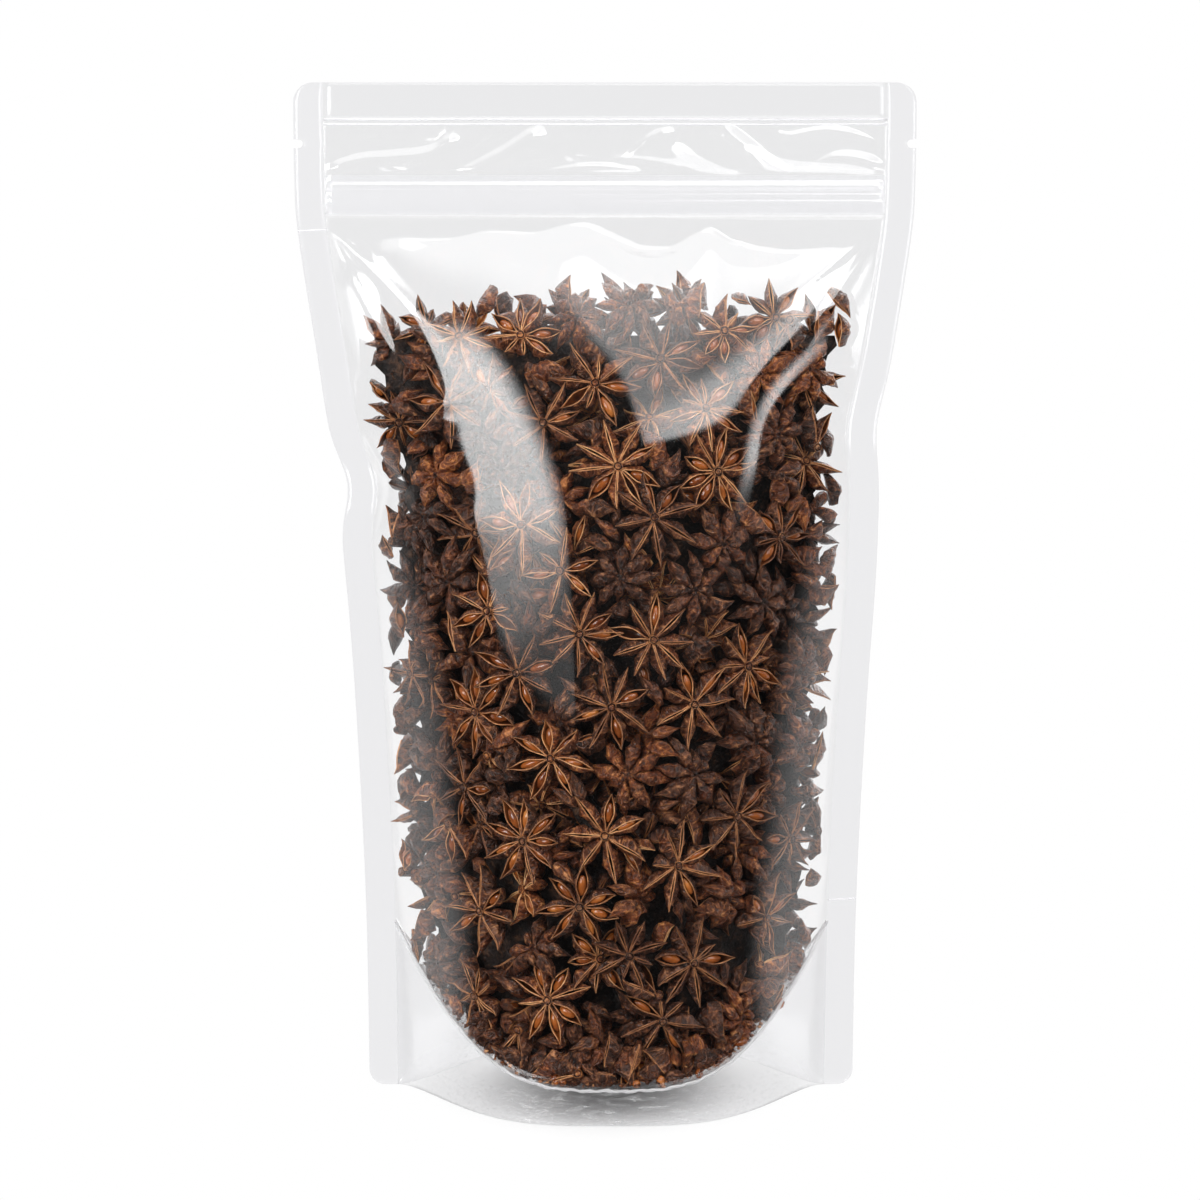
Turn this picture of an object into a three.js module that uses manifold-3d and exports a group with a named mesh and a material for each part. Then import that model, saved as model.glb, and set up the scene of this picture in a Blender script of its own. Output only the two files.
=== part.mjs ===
// A clear stand-up pouch, filled with star anise pods and sealed shut.
// The sealed pouch is one solid: film and contents together, out to the film's outer face.
// It stands on the skirt below its curved bottom seal, and its press-to-close zip is a strip of its own.
// Millimetres. X runs across the pouch, -Y is its front, +Z is up. The origin is the middle of the base.

import * as THREE from "three";
import { mergeVertices } from "three/addons/utils/BufferGeometryUtils.js";
import Module from "manifold-3d";

const wasm = await Module();
wasm.setup();

// ---- Driving dimensions -------------------------------------------------------------------------

const FLAT_WIDTH = 190; // the empty pouch, from edge to edge
const HEIGHT = 315; // the filled pouch, from the floor to its top edge
const SIDE_SEAL = 9; // width of the heat seal down each side
const TOP_SEAL = 11; // height of the heat seal along the top
const SEAL_THICKNESS = 1; // front and back film where they are sealed, drawn thick enough to hold as a solid
const SKIRT_THICKNESS = 1; // one wall of the skirt, drawn thick in the same way
const TOP_CORNER = 6; // radius of the two upper corners
const BOTTOM_CORNER = 5; // radius of the two lower corners

const BASE_HALF_WIDTH = 76.8; // half the filled pouch's width where it stands
const LEAN = 2; // how far the middle of the base stands to the right of the middle of the top
const LEAN_FROM = 150; // the pouch leans between these two heights
const LEAN_TO = 225;
const BOTTOM_SEAL_LOW = 11; // height of the curved bottom seal at the middle of the front
const BOTTOM_SEAL_HIGH = 53; // height where that seal meets the side seals
const FLOOR_SAG = 4; // how far the filled floor film hangs below its seal

const ZIP_LOW = 275; // lower edge of the zip strip
const ZIP_HIGH = 287; // upper edge of the zip strip
const ZIP_WEB = 0.6; // thickness of the strip between its ribs
const ZIP_RIBS = [
  { height: 278.8, width: 1.1 },
  { height: 280.8, width: 1.1 },
  { height: 283.6, width: 2 }, // the closure itself, fatter than the two grip ribs under it
];
const HEADER_PUFF = 1.4; // how far the loose film above the zip stands apart, each way

const NOTCH_HEIGHT = 296.5; // the tear notches, one in each side seal
const NOTCH_DEPTH = 2.8;
const NOTCH_WIDTH = 2.6;

const GAP = 0.3; // clearance round the zip strip
const THROUGH = 10; // depth of a cut that passes right through the sealed films

// Half the pouch's width, from the floor up: [height, half width].
// Filling pulls the sides in, and the zip holds them out.
const OUTLINE = [
  [0, BASE_HALF_WIDTH],
  [60, 77.4],
  [124, 80],
  [170, 83],
  [205, 85.4],
  [225, 87.7],
  [271, 94.3],
  [ZIP_HIGH, FLAT_WIDTH / 2],
  [HEIGHT, FLAT_WIDTH / 2],
];

// Where a side seal has buckled inwards under the film's pull. side is -1 on the left and 1 on the right.
const BUCKLES = [
  { side: -1, height: 191.5, depth: 3.8, reach: 11 },
  { side: 1, height: 209, depth: 1.9, reach: 13 },
];

// The section's shape: depth = bulge * (1 - across^flatness)^softness.
// across runs from 0 at the middle to 1 at the side seal.
const BASE_SECTION = { flatness: 3.4, softness: 1.8 };
const BODY_SECTION = { flatness: 2.2, softness: 1.08 };
const SECTION_CHANGE = 95; // height by which the base's section has become the body's
const OPENING_SLOPE = 0.66; // the film opens out from under the zip at this slope
const OPENING_BLEND = 4; // and turns into the full section sharply or softly: higher is sharper

// ---- Mesh density -------------------------------------------------------------------------------

const STEPS_ACROSS = 30;
const EVENNESS = 0.65; // 1 spaces those steps evenly, and less brings them closer together towards the seals
const STEPS_GIRTH = 28;
const STEPS_CORNER = 5;
const RECESS_STEPS = { across: 22, deep: 8, up: 5 };
const RECESS_REACH = 0.93; // share of the half width that the hollow under the floor takes up

// ---- The filled pouch's form --------------------------------------------------------------------

const { lerp, smoothstep } = THREE.MathUtils;

// A smooth curve through stations of [place, value], read at one place.
function alongStations(stations, place) {
  const last = stations.length - 1;
  const slope = (i) => {
    const before = stations[Math.max(i - 1, 0)];
    const after = stations[Math.min(i + 1, last)];
    return (after[1] - before[1]) / (after[0] - before[0]);
  };
  let i = 0;
  while (i < last - 1 && place > stations[i + 1][0]) i += 1;
  const [start, startValue] = stations[i];
  const [end, endValue] = stations[i + 1];
  const span = end - start;
  const t = THREE.MathUtils.clamp((place - start) / span, 0, 1);
  const t2 = t * t;
  const t3 = t2 * t;
  return (
    startValue * (2 * t3 - 3 * t2 + 1) +
    endValue * (3 * t2 - 2 * t3) +
    span * slope(i) * (t3 - 2 * t2 + t) +
    span * slope(i + 1) * (t3 - t2)
  );
}

// How much the round corners take off the half width. fromEdge is the distance from the top or bottom edge.
function roundCorner(radius, fromEdge) {
  const intoCorner = THREE.MathUtils.clamp(1 - fromEdge / radius, 0, 1);
  return radius * (1 - Math.sqrt(1 - intoCorner ** 2));
}

function cornerInset(z) {
  return roundCorner(TOP_CORNER, HEIGHT - z) + roundCorner(BOTTOM_CORNER, z);
}

function buckleInset(side, z) {
  const felt = BUCKLES.filter((buckle) => buckle.side === side);
  return felt.reduce((sum, b) => sum + b.depth * Math.exp(-(((z - b.height) / b.reach) ** 2)), 0);
}

// The pouch's middle line, which leans. Places across the pouch are measured from it.
function leanAt(z) {
  return LEAN * (1 - smoothstep(z, LEAN_FROM, LEAN_TO));
}

// Half width to the pouch's outer edge, and to the inner edge of its side seal.
function outerHalfWidth(side, z) {
  return alongStations(OUTLINE, z) - buckleInset(side, z) - cornerInset(z);
}

function innerHalfWidth(side, z) {
  return alongStations(OUTLINE, z) - buckleInset(side, z) - SIDE_SEAL;
}

function sectionAt(z) {
  const change = smoothstep(z, 0, SECTION_CHANGE);
  return {
    flatness: lerp(BASE_SECTION.flatness, BODY_SECTION.flatness, change),
    softness: lerp(BASE_SECTION.softness, BODY_SECTION.softness, change),
  };
}

function sectionDepth(section, across) {
  return (1 - Math.min(across, 1) ** section.flatness) ** section.softness;
}

// Length of film in half a section that bulges by bulge over halfWidth.
function filmLength(section, halfWidth, bulge) {
  let length = 0;
  for (let i = 0; i < STEPS_GIRTH; i += 1) {
    const [from, to] = [i / STEPS_GIRTH, (i + 1) / STEPS_GIRTH];
    const rise = bulge * (sectionDepth(section, to) - sectionDepth(section, from));
    length += Math.hypot(halfWidth / STEPS_GIRTH, rise);
  }
  return length;
}

// The film doesn't stretch, so the full bulge at a height is what uses up its flat width between the seals.
function fullBulge(z) {
  const section = sectionAt(z);
  const halfWidth = alongStations(OUTLINE, z) - SIDE_SEAL;
  const halfFilm = FLAT_WIDTH / 2 - SIDE_SEAL;
  let [low, high] = [0, FLAT_WIDTH / 2];
  for (let i = 0; i < 30; i += 1) {
    const middle = (low + high) / 2;
    if (filmLength(section, halfWidth, middle) < halfFilm) low = middle;
    else high = middle;
  }
  return low;
}

// Near the zip, which holds the film flat, it can't reach that bulge yet.
function bulgeAt(z) {
  if (z >= ZIP_LOW) return 0;
  const opened = OPENING_SLOPE * (ZIP_LOW - z);
  return (opened ** -OPENING_BLEND + fullBulge(z) ** -OPENING_BLEND) ** (-1 / OPENING_BLEND);
}

// Between the zip and the top seal the film is loose, and stands a little apart.
function headerPuff(z) {
  const share = (z - ZIP_HIGH) / (HEIGHT - TOP_SEAL - ZIP_HIGH);
  return share > 0 && share < 1 ? HEADER_PUFF * Math.sin(Math.PI * share) : 0;
}

// Depth of the pouch's face from its middle plane.
function faceDepth(x, z) {
  const across = Math.abs(x) / innerHalfWidth(Math.sign(x) || 1, z);
  const loose = headerPuff(z) * sectionDepth(BODY_SECTION, across);
  return SEAL_THICKNESS / 2 + bulgeAt(z) * sectionDepth(sectionAt(z), across) + loose;
}

// Height of the curved bottom seal, and of the film floor that hangs from it.
// share runs from -1 at the front to 1 at the back.
function bottomSealHeight(x) {
  const across = Math.abs(x) / (BASE_HALF_WIDTH - SIDE_SEAL);
  return BOTTOM_SEAL_LOW + (BOTTOM_SEAL_HIGH - BOTTOM_SEAL_LOW) * across ** 3;
}

function floorHeight(x, share) {
  const sag = FLOOR_SAG * (1 - share * share) * sectionDepth(BASE_SECTION, Math.abs(x) / BASE_HALF_WIDTH);
  return bottomSealHeight(x) - sag;
}

// ---- Solids -------------------------------------------------------------------------------------

// The levels of the mesh: close together in the round corners and at the edges of the zip and top seal.
function levels() {
  const runs = [
    { from: 0, to: BOTTOM_CORNER, steps: 4 },
    { from: BOTTOM_CORNER, to: BOTTOM_SEAL_HIGH, steps: 7 },
    { from: BOTTOM_SEAL_HIGH, to: 170, steps: 10 },
    { from: 170, to: 230, steps: 11 },
    { from: 230, to: ZIP_LOW - GAP, steps: 7 },
    { from: ZIP_LOW - GAP, to: ZIP_HIGH + GAP, steps: 1 },
    { from: ZIP_HIGH + GAP, to: HEIGHT - TOP_SEAL, steps: 6 },
    { from: HEIGHT - TOP_SEAL, to: HEIGHT - TOP_CORNER, steps: 1 },
  ];
  const heights = runs.flatMap(({ from, to, steps }) =>
    Array.from({ length: steps }, (_, i) => lerp(from, to, i / steps)),
  );
  for (let i = 0; i <= STEPS_CORNER; i += 1) {
    const turned = (i / STEPS_CORNER) * (Math.PI / 2);
    heights.push(HEIGHT - TOP_CORNER * (1 - Math.sin(turned)));
  }
  return heights;
}

// Across the pouch, the first and last steps are the side seals, and the others share the film between them.
function placeAcross(share, z) {
  const side = Math.sign(share) || 1;
  const ofFilm = share / (1 - 2 / STEPS_ACROSS);
  if (Math.abs(ofFilm) > 1.001) return side * outerHalfWidth(side, z);
  const spaced = lerp(Math.sin((ofFilm * Math.PI) / 2), ofFilm, EVENNESS);
  return innerHalfWidth(side, z) * spaced;
}

// Moves every corner of a box that spans -1 to 1 each way to where place says.
function shapedBox(stepsX, stepsY, stepsZ, place) {
  const geometry = new THREE.BoxGeometry(2, 2, 2, stepsX, stepsY, stepsZ);
  const position = geometry.getAttribute("position");
  const corner = new THREE.Vector3();
  for (let i = 0; i < position.count; i += 1) {
    corner.fromBufferAttribute(position, i);
    position.setXYZ(i, ...place(corner.x, corner.y, corner.z));
  }
  return geometry;
}

function toSolid(geometry) {
  const bare = geometry.clone();
  bare.deleteAttribute("normal");
  bare.deleteAttribute("uv");
  const merged = mergeVertices(bare, 1e-4);
  const vertProperties = merged.getAttribute("position").array;
  const triVerts = new Uint32Array(merged.index.array);
  return new wasm.Manifold(new wasm.Mesh({ numProp: 3, vertProperties, triVerts }));
}

function toGeometry(solid) {
  const { vertProperties, triVerts } = solid.getMesh();
  const geometry = new THREE.BufferGeometry();
  geometry.setAttribute("position", new THREE.BufferAttribute(vertProperties, 3));
  geometry.setIndex(new THREE.BufferAttribute(triVerts, 1));
  geometry.computeVertexNormals();
  return geometry;
}

// The pouch filled out to its film, down to the floor.
function filledPouch() {
  const heights = levels();
  const top = heights.length - 1;
  return shapedBox(STEPS_ACROSS, 1, top, (u, v, w) => {
    const z = heights[Math.round(((w + 1) / 2) * top)];
    const x = placeAcross(u, z);
    return [x + leanAt(z), v * faceDepth(x, z), z];
  });
}

// The hollow under the pouch's floor, inside the skirt.
function skirtRecess() {
  const halfWidth = (BASE_HALF_WIDTH - SIDE_SEAL) * RECESS_REACH;
  const below = -THROUGH;
  return shapedBox(RECESS_STEPS.across, RECESS_STEPS.deep, RECESS_STEPS.up, (u, v, w) => {
    const x = u * halfWidth;
    const z = lerp(below, floorHeight(x, v), (w + 1) / 2);
    return [x + LEAN, v * (faceDepth(x, Math.max(z, 0)) - SKIRT_THICKNESS), z];
  });
}

// The zip strip lies between the two films, in a slot that this box makes.
function zipSlot() {
  const width = 2 * (FLAT_WIDTH / 2 - SIDE_SEAL);
  const height = ZIP_HIGH - ZIP_LOW + 2 * GAP;
  return new THREE.BoxGeometry(width, THROUGH, height).translate(0, 0, (ZIP_LOW + ZIP_HIGH) / 2);
}

// A tear notch: a slot with a round end, cut into the side seal from its edge.
function tearNotch(side) {
  const radius = NOTCH_WIDTH / 2;
  const reach = NOTCH_DEPTH - radius;
  const edge = side * (FLAT_WIDTH / 2);
  const round = new THREE.CylinderGeometry(radius, radius, THROUGH, 16);
  const straight = new THREE.BoxGeometry(2 * reach, THROUGH, NOTCH_WIDTH);
  round.translate(edge - side * reach, 0, NOTCH_HEIGHT);
  straight.translate(edge, 0, NOTCH_HEIGHT);
  return toSolid(round).add(toSolid(straight));
}

function pouchGeometry() {
  const cuts = [toSolid(skirtRecess()), toSolid(zipSlot()), tearNotch(-1), tearNotch(1)];
  return toGeometry(cuts.reduce((solid, cut) => solid.subtract(cut), toSolid(filledPouch())));
}

// The zip's section, drawn with its depth across and its height up, then run along the pouch.
function zipGeometry() {
  const half = ZIP_WEB / 2;
  const outline = new THREE.Shape().moveTo(half, ZIP_LOW);
  for (const { height, width } of ZIP_RIBS) {
    outline.lineTo(half, height - width / 2);
    outline.absarc(half, height, width / 2, -Math.PI / 2, Math.PI / 2, false);
  }
  outline.lineTo(half, ZIP_HIGH);
  outline.lineTo(-half, ZIP_HIGH);
  for (const { height, width } of [...ZIP_RIBS].reverse()) {
    outline.lineTo(-half, height + width / 2);
    outline.absarc(-half, height, width / 2, Math.PI / 2, (3 * Math.PI) / 2, false);
  }
  outline.lineTo(-half, ZIP_LOW);
  const length = 2 * (FLAT_WIDTH / 2 - SIDE_SEAL - GAP);
  const strip = new THREE.ExtrudeGeometry(outline, { depth: length, bevelEnabled: false, curveSegments: 6 });
  return strip.translate(0, 0, -length / 2);
}

// ---- Scene graph --------------------------------------------------------------------------------

const filmMaterial = new THREE.MeshStandardMaterial({
  color: 0xe9e9ec,
  roughness: 0.12,
  metalness: 0,
  transparent: true,
  opacity: 0.4,
});
const zipMaterial = new THREE.MeshStandardMaterial({ color: 0xf2f2f4, roughness: 0.3, metalness: 0 });

const pouch = new THREE.Mesh(pouchGeometry(), filmMaterial);
pouch.name = "pouch";

const zip = new THREE.Mesh(zipGeometry(), zipMaterial);
zip.name = "zip_strip";
const acrossY = new THREE.Vector3(0, 1, 0);
const upZ = new THREE.Vector3(0, 0, 1);
const alongX = new THREE.Vector3(1, 0, 0);
zip.quaternion.setFromRotationMatrix(new THREE.Matrix4().makeBasis(acrossY, upZ, alongX));

const starAnisePouch = new THREE.Group();
starAnisePouch.add(pouch, zip);

export default starAnisePouch;
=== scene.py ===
# A clear stand-up pouch full of star anise, dressed for the render.
# The film, its seals and every pod are meshes of their own, in the space that the CAD pouch holds.
# Lengths are millimetres until a mesh is made. X runs across the pouch, -Y is its front, +Z is up.

import math

import bpy
import numpy as np
from mathutils import Euler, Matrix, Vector


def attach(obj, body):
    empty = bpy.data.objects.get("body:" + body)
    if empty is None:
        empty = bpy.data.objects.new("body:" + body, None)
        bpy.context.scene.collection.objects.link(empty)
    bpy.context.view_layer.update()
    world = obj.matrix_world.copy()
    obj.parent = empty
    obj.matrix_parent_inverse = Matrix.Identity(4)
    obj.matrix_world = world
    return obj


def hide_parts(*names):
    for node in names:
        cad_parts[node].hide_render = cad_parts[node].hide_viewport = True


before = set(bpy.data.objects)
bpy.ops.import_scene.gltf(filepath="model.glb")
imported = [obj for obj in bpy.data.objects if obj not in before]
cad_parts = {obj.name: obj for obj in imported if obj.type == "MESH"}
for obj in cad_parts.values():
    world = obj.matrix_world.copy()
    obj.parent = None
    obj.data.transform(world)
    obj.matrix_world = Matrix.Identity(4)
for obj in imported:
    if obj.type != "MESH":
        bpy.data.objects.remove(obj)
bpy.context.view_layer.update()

MM = 0.001

# ---- Sizes of the pouch, as in the CAD model ----------------------------------------------------

FLAT_WIDTH = 190.0
HEIGHT = 315.0
SIDE_SEAL = 9.0
TOP_SEAL = 11.0
TOP_CORNER = 6.0
BOTTOM_CORNER = 5.0
BASE_HALF_WIDTH = 76.8
LEAN = 2.0
LEAN_FROM, LEAN_TO = 150.0, 225.0
BOTTOM_SEAL_LOW, BOTTOM_SEAL_HIGH = 11.0, 53.0
FLOOR_SAG = 4.0
ZIP_LOW, ZIP_HIGH = 275.0, 287.0
ZIP_WEB = 0.6
ZIP_RIBS = ((278.8, 1.1), (280.8, 1.1), (283.6, 2.0))  # height, width
HEADER_PUFF = 0.9  # less than in the solid, because the folds come on top of it
NOTCH_HEIGHT, NOTCH_DEPTH, NOTCH_WIDTH = 296.5, 2.8, 2.6
OUTLINE = (
    (0, BASE_HALF_WIDTH),
    (60, 77.4),
    (124, 80),
    (170, 83),
    (205, 85.4),
    (225, 87.7),
    (271, 94.3),
    (ZIP_HIGH, FLAT_WIDTH / 2),
    (HEIGHT, FLAT_WIDTH / 2),
)
BUCKLES = ((-1, 191.5, 3.8, 11.0), (1, 209.0, 1.9, 13.0))  # side, height, depth, reach
BASE_SECTION = (3.4, 1.8)  # flatness and softness of the section
BODY_SECTION = (2.2, 1.08)
SECTION_CHANGE = 95.0
OPENING_SLOPE = 0.66
OPENING_BLEND = 4

# ---- What only the eye needs --------------------------------------------------------------------

FILM = 0.16  # thickness of the film
SEALED = 0.4  # thickness where films are sealed to each other
FILM_FACE = 0.3  # half the gap between the front and the back film's outer faces, at the side seals
FILL_HEIGHT = 252.0  # the contents come about this high
CLEARANCE = 0.9  # between the pods and the film
# The heap's core is a dark sheet in painted shade, seen in the gaps between the pods.
CORE_UNDER_FILM, CORE_FROM_SEAL, CORE_UNDER_TOP = 18.0, 10.0, 14.0  # where the heap's shaded core ends

PODS_PER_PIECE = 60

rng = np.random.default_rng(11)


# ---- The pouch's form ---------------------------------------------------------------------------

def smoothstep(value, low, high):
    t = np.clip((value - low) / (high - low), 0, 1)
    return t * t * (3 - 2 * t)


def along(stations, place):
    """A smooth curve through stations of (place, value)."""
    place = np.asarray(place, float)
    at, value = np.array(stations, float).T
    order = np.arange(len(at))
    before, after = np.maximum(order - 1, 0), np.minimum(order + 1, len(at) - 1)
    slope = (value[after] - value[before]) / (at[after] - at[before])
    k = np.clip(np.searchsorted(at, place, side="right") - 1, 0, len(at) - 2)
    span = at[k + 1] - at[k]
    t = np.clip((place - at[k]) / span, 0, 1)
    start = value[k] * (2 * t**3 - 3 * t**2 + 1) + span * slope[k] * (t**3 - 2 * t**2 + t)
    end = value[k + 1] * (3 * t**2 - 2 * t**3) + span * slope[k + 1] * (t**3 - t**2)
    return start + end


def buckle(side, z):
    """How far a side is drawn in where it has buckled."""
    return sum(
        (side == s) * deep * np.exp(-(((z - height) / reach) ** 2)) for s, height, deep, reach in BUCKLES
    )


def inner_half_width(side, z, out=None):
    """Where the side seals begin. For a spot less far out, the buckles count less."""
    plain = along(OUTLINE, z) - SIDE_SEAL
    share = 1 if out is None else smoothstep(out / plain, 0.5, 1)
    return plain - buckle(side, z) * share


def lean(z):
    return LEAN * (1 - smoothstep(z, LEAN_FROM, LEAN_TO))


def across_at(u, z):
    """The place across the pouch at a share u of the way from its middle line to a side seal."""
    return u * inner_half_width(np.where(u < 0, -1, 1), z)


def on_pouch(x, y, z):
    """Points from places measured from the pouch's middle line, which leans."""
    return np.stack(np.broadcast_arrays(x + lean(z), y, z), -1)


def section(z):
    change = smoothstep(z, 0, SECTION_CHANGE)
    return tuple(low + (high - low) * change for low, high in zip(BASE_SECTION, BODY_SECTION))


def depth_share(flatness, softness, across):
    return (1 - np.minimum(across, 1) ** flatness) ** softness


def full_bulge(z):
    """How far the film bulges where it is full: its flat width is used up between the side seals."""
    flatness, softness = section(z)
    half_width = along(OUTLINE, z) - SIDE_SEAL
    steps = 60
    share = depth_share(flatness[:, None], softness[:, None], np.linspace(0, 1, steps + 1))
    rise = np.diff(share, axis=1)
    low, high = np.zeros_like(z), np.full_like(z, FLAT_WIDTH / 2)
    for _ in range(30):
        middle = (low + high) / 2
        length = np.hypot(half_width[:, None] / steps, middle[:, None] * rise).sum(1)
        short = length < FLAT_WIDTH / 2 - SIDE_SEAL
        low, high = np.where(short, middle, low), np.where(short, high, middle)
    return low


# The bulge at each level: the smaller of what the opening under the zip and the full pouch allow.
LEVELS = np.linspace(0, HEIGHT, 631)
OPENED = np.maximum(OPENING_SLOPE * (ZIP_LOW - LEVELS), 1e-6)
FILLED = np.maximum(full_bulge(LEVELS), 1e-6)
BULGES = (OPENED**-OPENING_BLEND + FILLED**-OPENING_BLEND) ** (-1 / OPENING_BLEND)
BULGES[LEVELS >= ZIP_LOW] = 0


def film_depth(x, z):
    """Depth of the film's outer face from the middle plane. x is measured from the pouch's middle line."""
    side = np.where(x < 0, -1, 1)
    across = np.abs(x) / inner_half_width(side, z, np.abs(x))
    flatness, softness = section(z)
    puff = HEADER_PUFF * np.sin(np.pi * np.clip((z - ZIP_HIGH) / (HEIGHT - TOP_SEAL - ZIP_HIGH), 0, 1))
    bulge = np.interp(z, LEVELS, BULGES) + puff
    return FILM_FACE + bulge * depth_share(flatness, softness, across)


def seal_height(across):
    """Height of the curved bottom seal. across runs from 0 at the middle to 1 at the side seal."""
    return BOTTOM_SEAL_LOW + (BOTTOM_SEAL_HIGH - BOTTOM_SEAL_LOW) * np.minimum(across, 1) ** 3


def floor_height(across, share):
    """Height of the film floor. share runs from 0 at the middle to 1 at the front and the back."""
    return seal_height(across) - FLOOR_SAG * (1 - share**2) * depth_share(*BASE_SECTION, across)


# ---- Meshes from arrays -------------------------------------------------------------------------

NO_TRIS = np.zeros((0, 3), int)


class Parts:
    """Gathers bodies of one piece as arrays, then makes one mesh object of them."""

    def __init__(self):
        self.points, self.quads, self.tris = [], [], []
        self.quad_slots, self.tri_slots = [], []
        self.values = {}
        self.total = 0

    def add(self, points, quads, tris=NO_TRIS, quad_slot=0, tri_slot=0, **values):
        self.points.append(points)
        self.quads.append(quads + self.total)
        self.tris.append(tris + self.total)
        self.quad_slots.append(np.broadcast_to(quad_slot, len(quads)))
        self.tri_slots.append(np.broadcast_to(tri_slot, len(tris)))
        for name, value in values.items():
            value = np.asarray(value, float)
            self.values.setdefault(name, []).append(np.broadcast_to(value, (len(points), *value.shape[1:])))
        self.total += len(points)

    def build(self, name, materials):
        points = np.concatenate(self.points) * MM
        quads, tris = np.concatenate(self.quads), np.concatenate(self.tris)
        corners = np.concatenate([quads.ravel(), tris.ravel()]).astype(np.int32)
        starts = np.concatenate([np.arange(len(quads)) * 4, len(quads) * 4 + np.arange(len(tris)) * 3])
        slots = np.concatenate(self.quad_slots + self.tri_slots)
        mesh = bpy.data.meshes.new(name)
        mesh.vertices.add(len(points))
        mesh.vertices.foreach_set("co", points.astype(np.float32).ravel())
        mesh.loops.add(len(corners))
        mesh.loops.foreach_set("vertex_index", corners)
        mesh.polygons.add(len(starts))
        mesh.polygons.foreach_set("loop_start", starts.astype(np.int32))
        mesh.polygons.foreach_set("material_index", slots.astype(np.int32))
        mesh.polygons.foreach_set("use_smooth", np.ones(len(starts), bool))
        for key, chunks in self.values.items():
            value = np.concatenate(chunks).astype(np.float32)
            kind, field = ("FLOAT_VECTOR", "vector") if value.ndim == 2 else ("FLOAT", "value")
            mesh.attributes.new(key, kind, "POINT").data.foreach_set(field, value.ravel())
        mesh.update(calc_edges=True)
        mesh.validate()
        for material in materials:
            mesh.materials.append(material)
        piece = bpy.data.objects.new(name, mesh)
        bpy.context.scene.collection.objects.link(piece)
        return piece


def grid_quads(rows, columns):
    """Quads of one grid of points: from outside, columns run right and rows run up."""
    corner = (np.arange(rows - 1)[:, None] * columns + np.arange(columns - 1)).ravel()
    return np.stack([corner, corner + 1, corner + columns + 1, corner + columns], -1)


def sheet_body(outside, inside):
    """Points and quads of a closed thin sheet between two grids (rows, columns, 3)."""
    rows, columns = outside.shape[:2]
    count = rows * columns
    index = np.arange(count).reshape(rows, columns)
    rim = np.concatenate([index[0, :-1], index[:-1, -1], index[-1, :0:-1], index[:0:-1, 0]])
    ahead = np.roll(rim, -1)
    front = grid_quads(rows, columns)
    back = front[:, ::-1] + count
    edge = np.stack([rim, rim + count, ahead + count, ahead], -1)
    points = np.concatenate([outside.reshape(-1, 3), inside.reshape(-1, 3)])
    return points, np.concatenate([front, back, edge])


def sheet_piece(name, outside, inside, material, crinkle=None):
    """A mesh object of one closed thin sheet. crinkle gives how crinkled it is at each of its points."""
    points, quads = sheet_body(outside, inside)
    values = {"crinkle": crinkle(points)} if crinkle else {}
    parts = Parts()
    parts.add(points, quads, **values)
    return parts.build(name, [material])


def ring_faces(count, rings, loop):
    """Faces that close rings of points into bodies. Each body's two pole points come after its rings."""
    per = rings * loop + 2
    k = np.arange(loop)
    ahead = (k + 1) % loop
    ring = np.arange(rings - 1)[:, None] * loop
    quads = np.stack([ring + k, ring + loop + k, ring + loop + ahead, ring + ahead], -1).reshape(-1, 4)
    last = (rings - 1) * loop
    start = np.stack([np.full(loop, per - 2), k, ahead], -1)
    end = np.stack([np.full(loop, per - 1), last + ahead, last + k], -1)
    tris = np.concatenate([start, end])
    offset = (np.arange(count) * per)[:, None, None]
    return (quads[None] + offset).reshape(-1, 4), (tris[None] + offset).reshape(-1, 3)


def rings_with_poles(grid, first, last):
    """One array (count, points, 3) from rings (count, rings, loop, 3) and their two pole points."""
    return np.concatenate([grid.reshape(len(grid), -1, 3), first[:, None], last[:, None]], 1)


def tube(path, radius, sides=8):
    """A closed round bar along a path (n, 3), as points and faces. radius may vary along it."""
    ahead = np.gradient(path, axis=0)
    ahead /= np.linalg.norm(ahead, axis=1, keepdims=True)
    across = np.cross(ahead, (0.0, 1.0, 0.0))
    across /= np.linalg.norm(across, axis=1, keepdims=True)
    other = np.cross(ahead, across)
    turned = np.arange(sides) / sides * 2 * np.pi
    radius = np.broadcast_to(radius, len(path))[:, None, None]
    ring = across[:, None] * np.cos(turned)[:, None] + other[:, None] * np.sin(turned)[:, None]
    grid = (path[:, None] + ring * radius)[None]
    points = rings_with_poles(grid, path[:1], path[-1:])[0]
    quads, tris = ring_faces(1, len(path), sides)
    return points, quads, tris


# ---- Star anise: shapes -------------------------------------------------------------------------

# A pod is a star of carpels round a column. A carpel is a little boat whose rim faces +Z.
# These curves run from the column (0) to the tip of the carpel's beak (1).
CARPEL_LENGTH = 14.0
CARPEL_WIDTH = ((0, 0.30), (0.15, 0.50), (0.45, 1.0), (0.66, 0.86), (0.82, 0.42), (0.92, 0.20), (1, 0.06))
CARPEL_GAPE = ((0, 0.0), (0.14, 0.06), (0.45, 1.0), (0.68, 0.84), (0.85, 0.34), (0.95, 0.08), (1, 0.02))
CARPEL_RIM = ((0, 1.5), (0.2, 2.0), (0.5, 2.2), (0.8, 2.1), (1, 2.9))
CARPEL_KEEL = ((0, -2.2), (0.2, -3.5), (0.5, -3.9), (0.7, -2.5), (0.85, -0.3), (0.94, 1.2), (1, 2.6))
LIP = 0.34
HUSK_WALL = 0.5
COLUMN_RADIUS = 0.7
COLUMN_PROFILE = (  # radius, height, and how pale the ring there is
    (0.5, -2.5, -2),
    (1.3, -2.3, 0),
    (1.5, 1.3, -1),
    (1.55, 2.2, 1),
    (1.4, 2.5, 3),
    (1.15, 2.1, -3),
    (0.95, 2.1, -3),
    (0.85, 2.45, 1.5),
)
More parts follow.
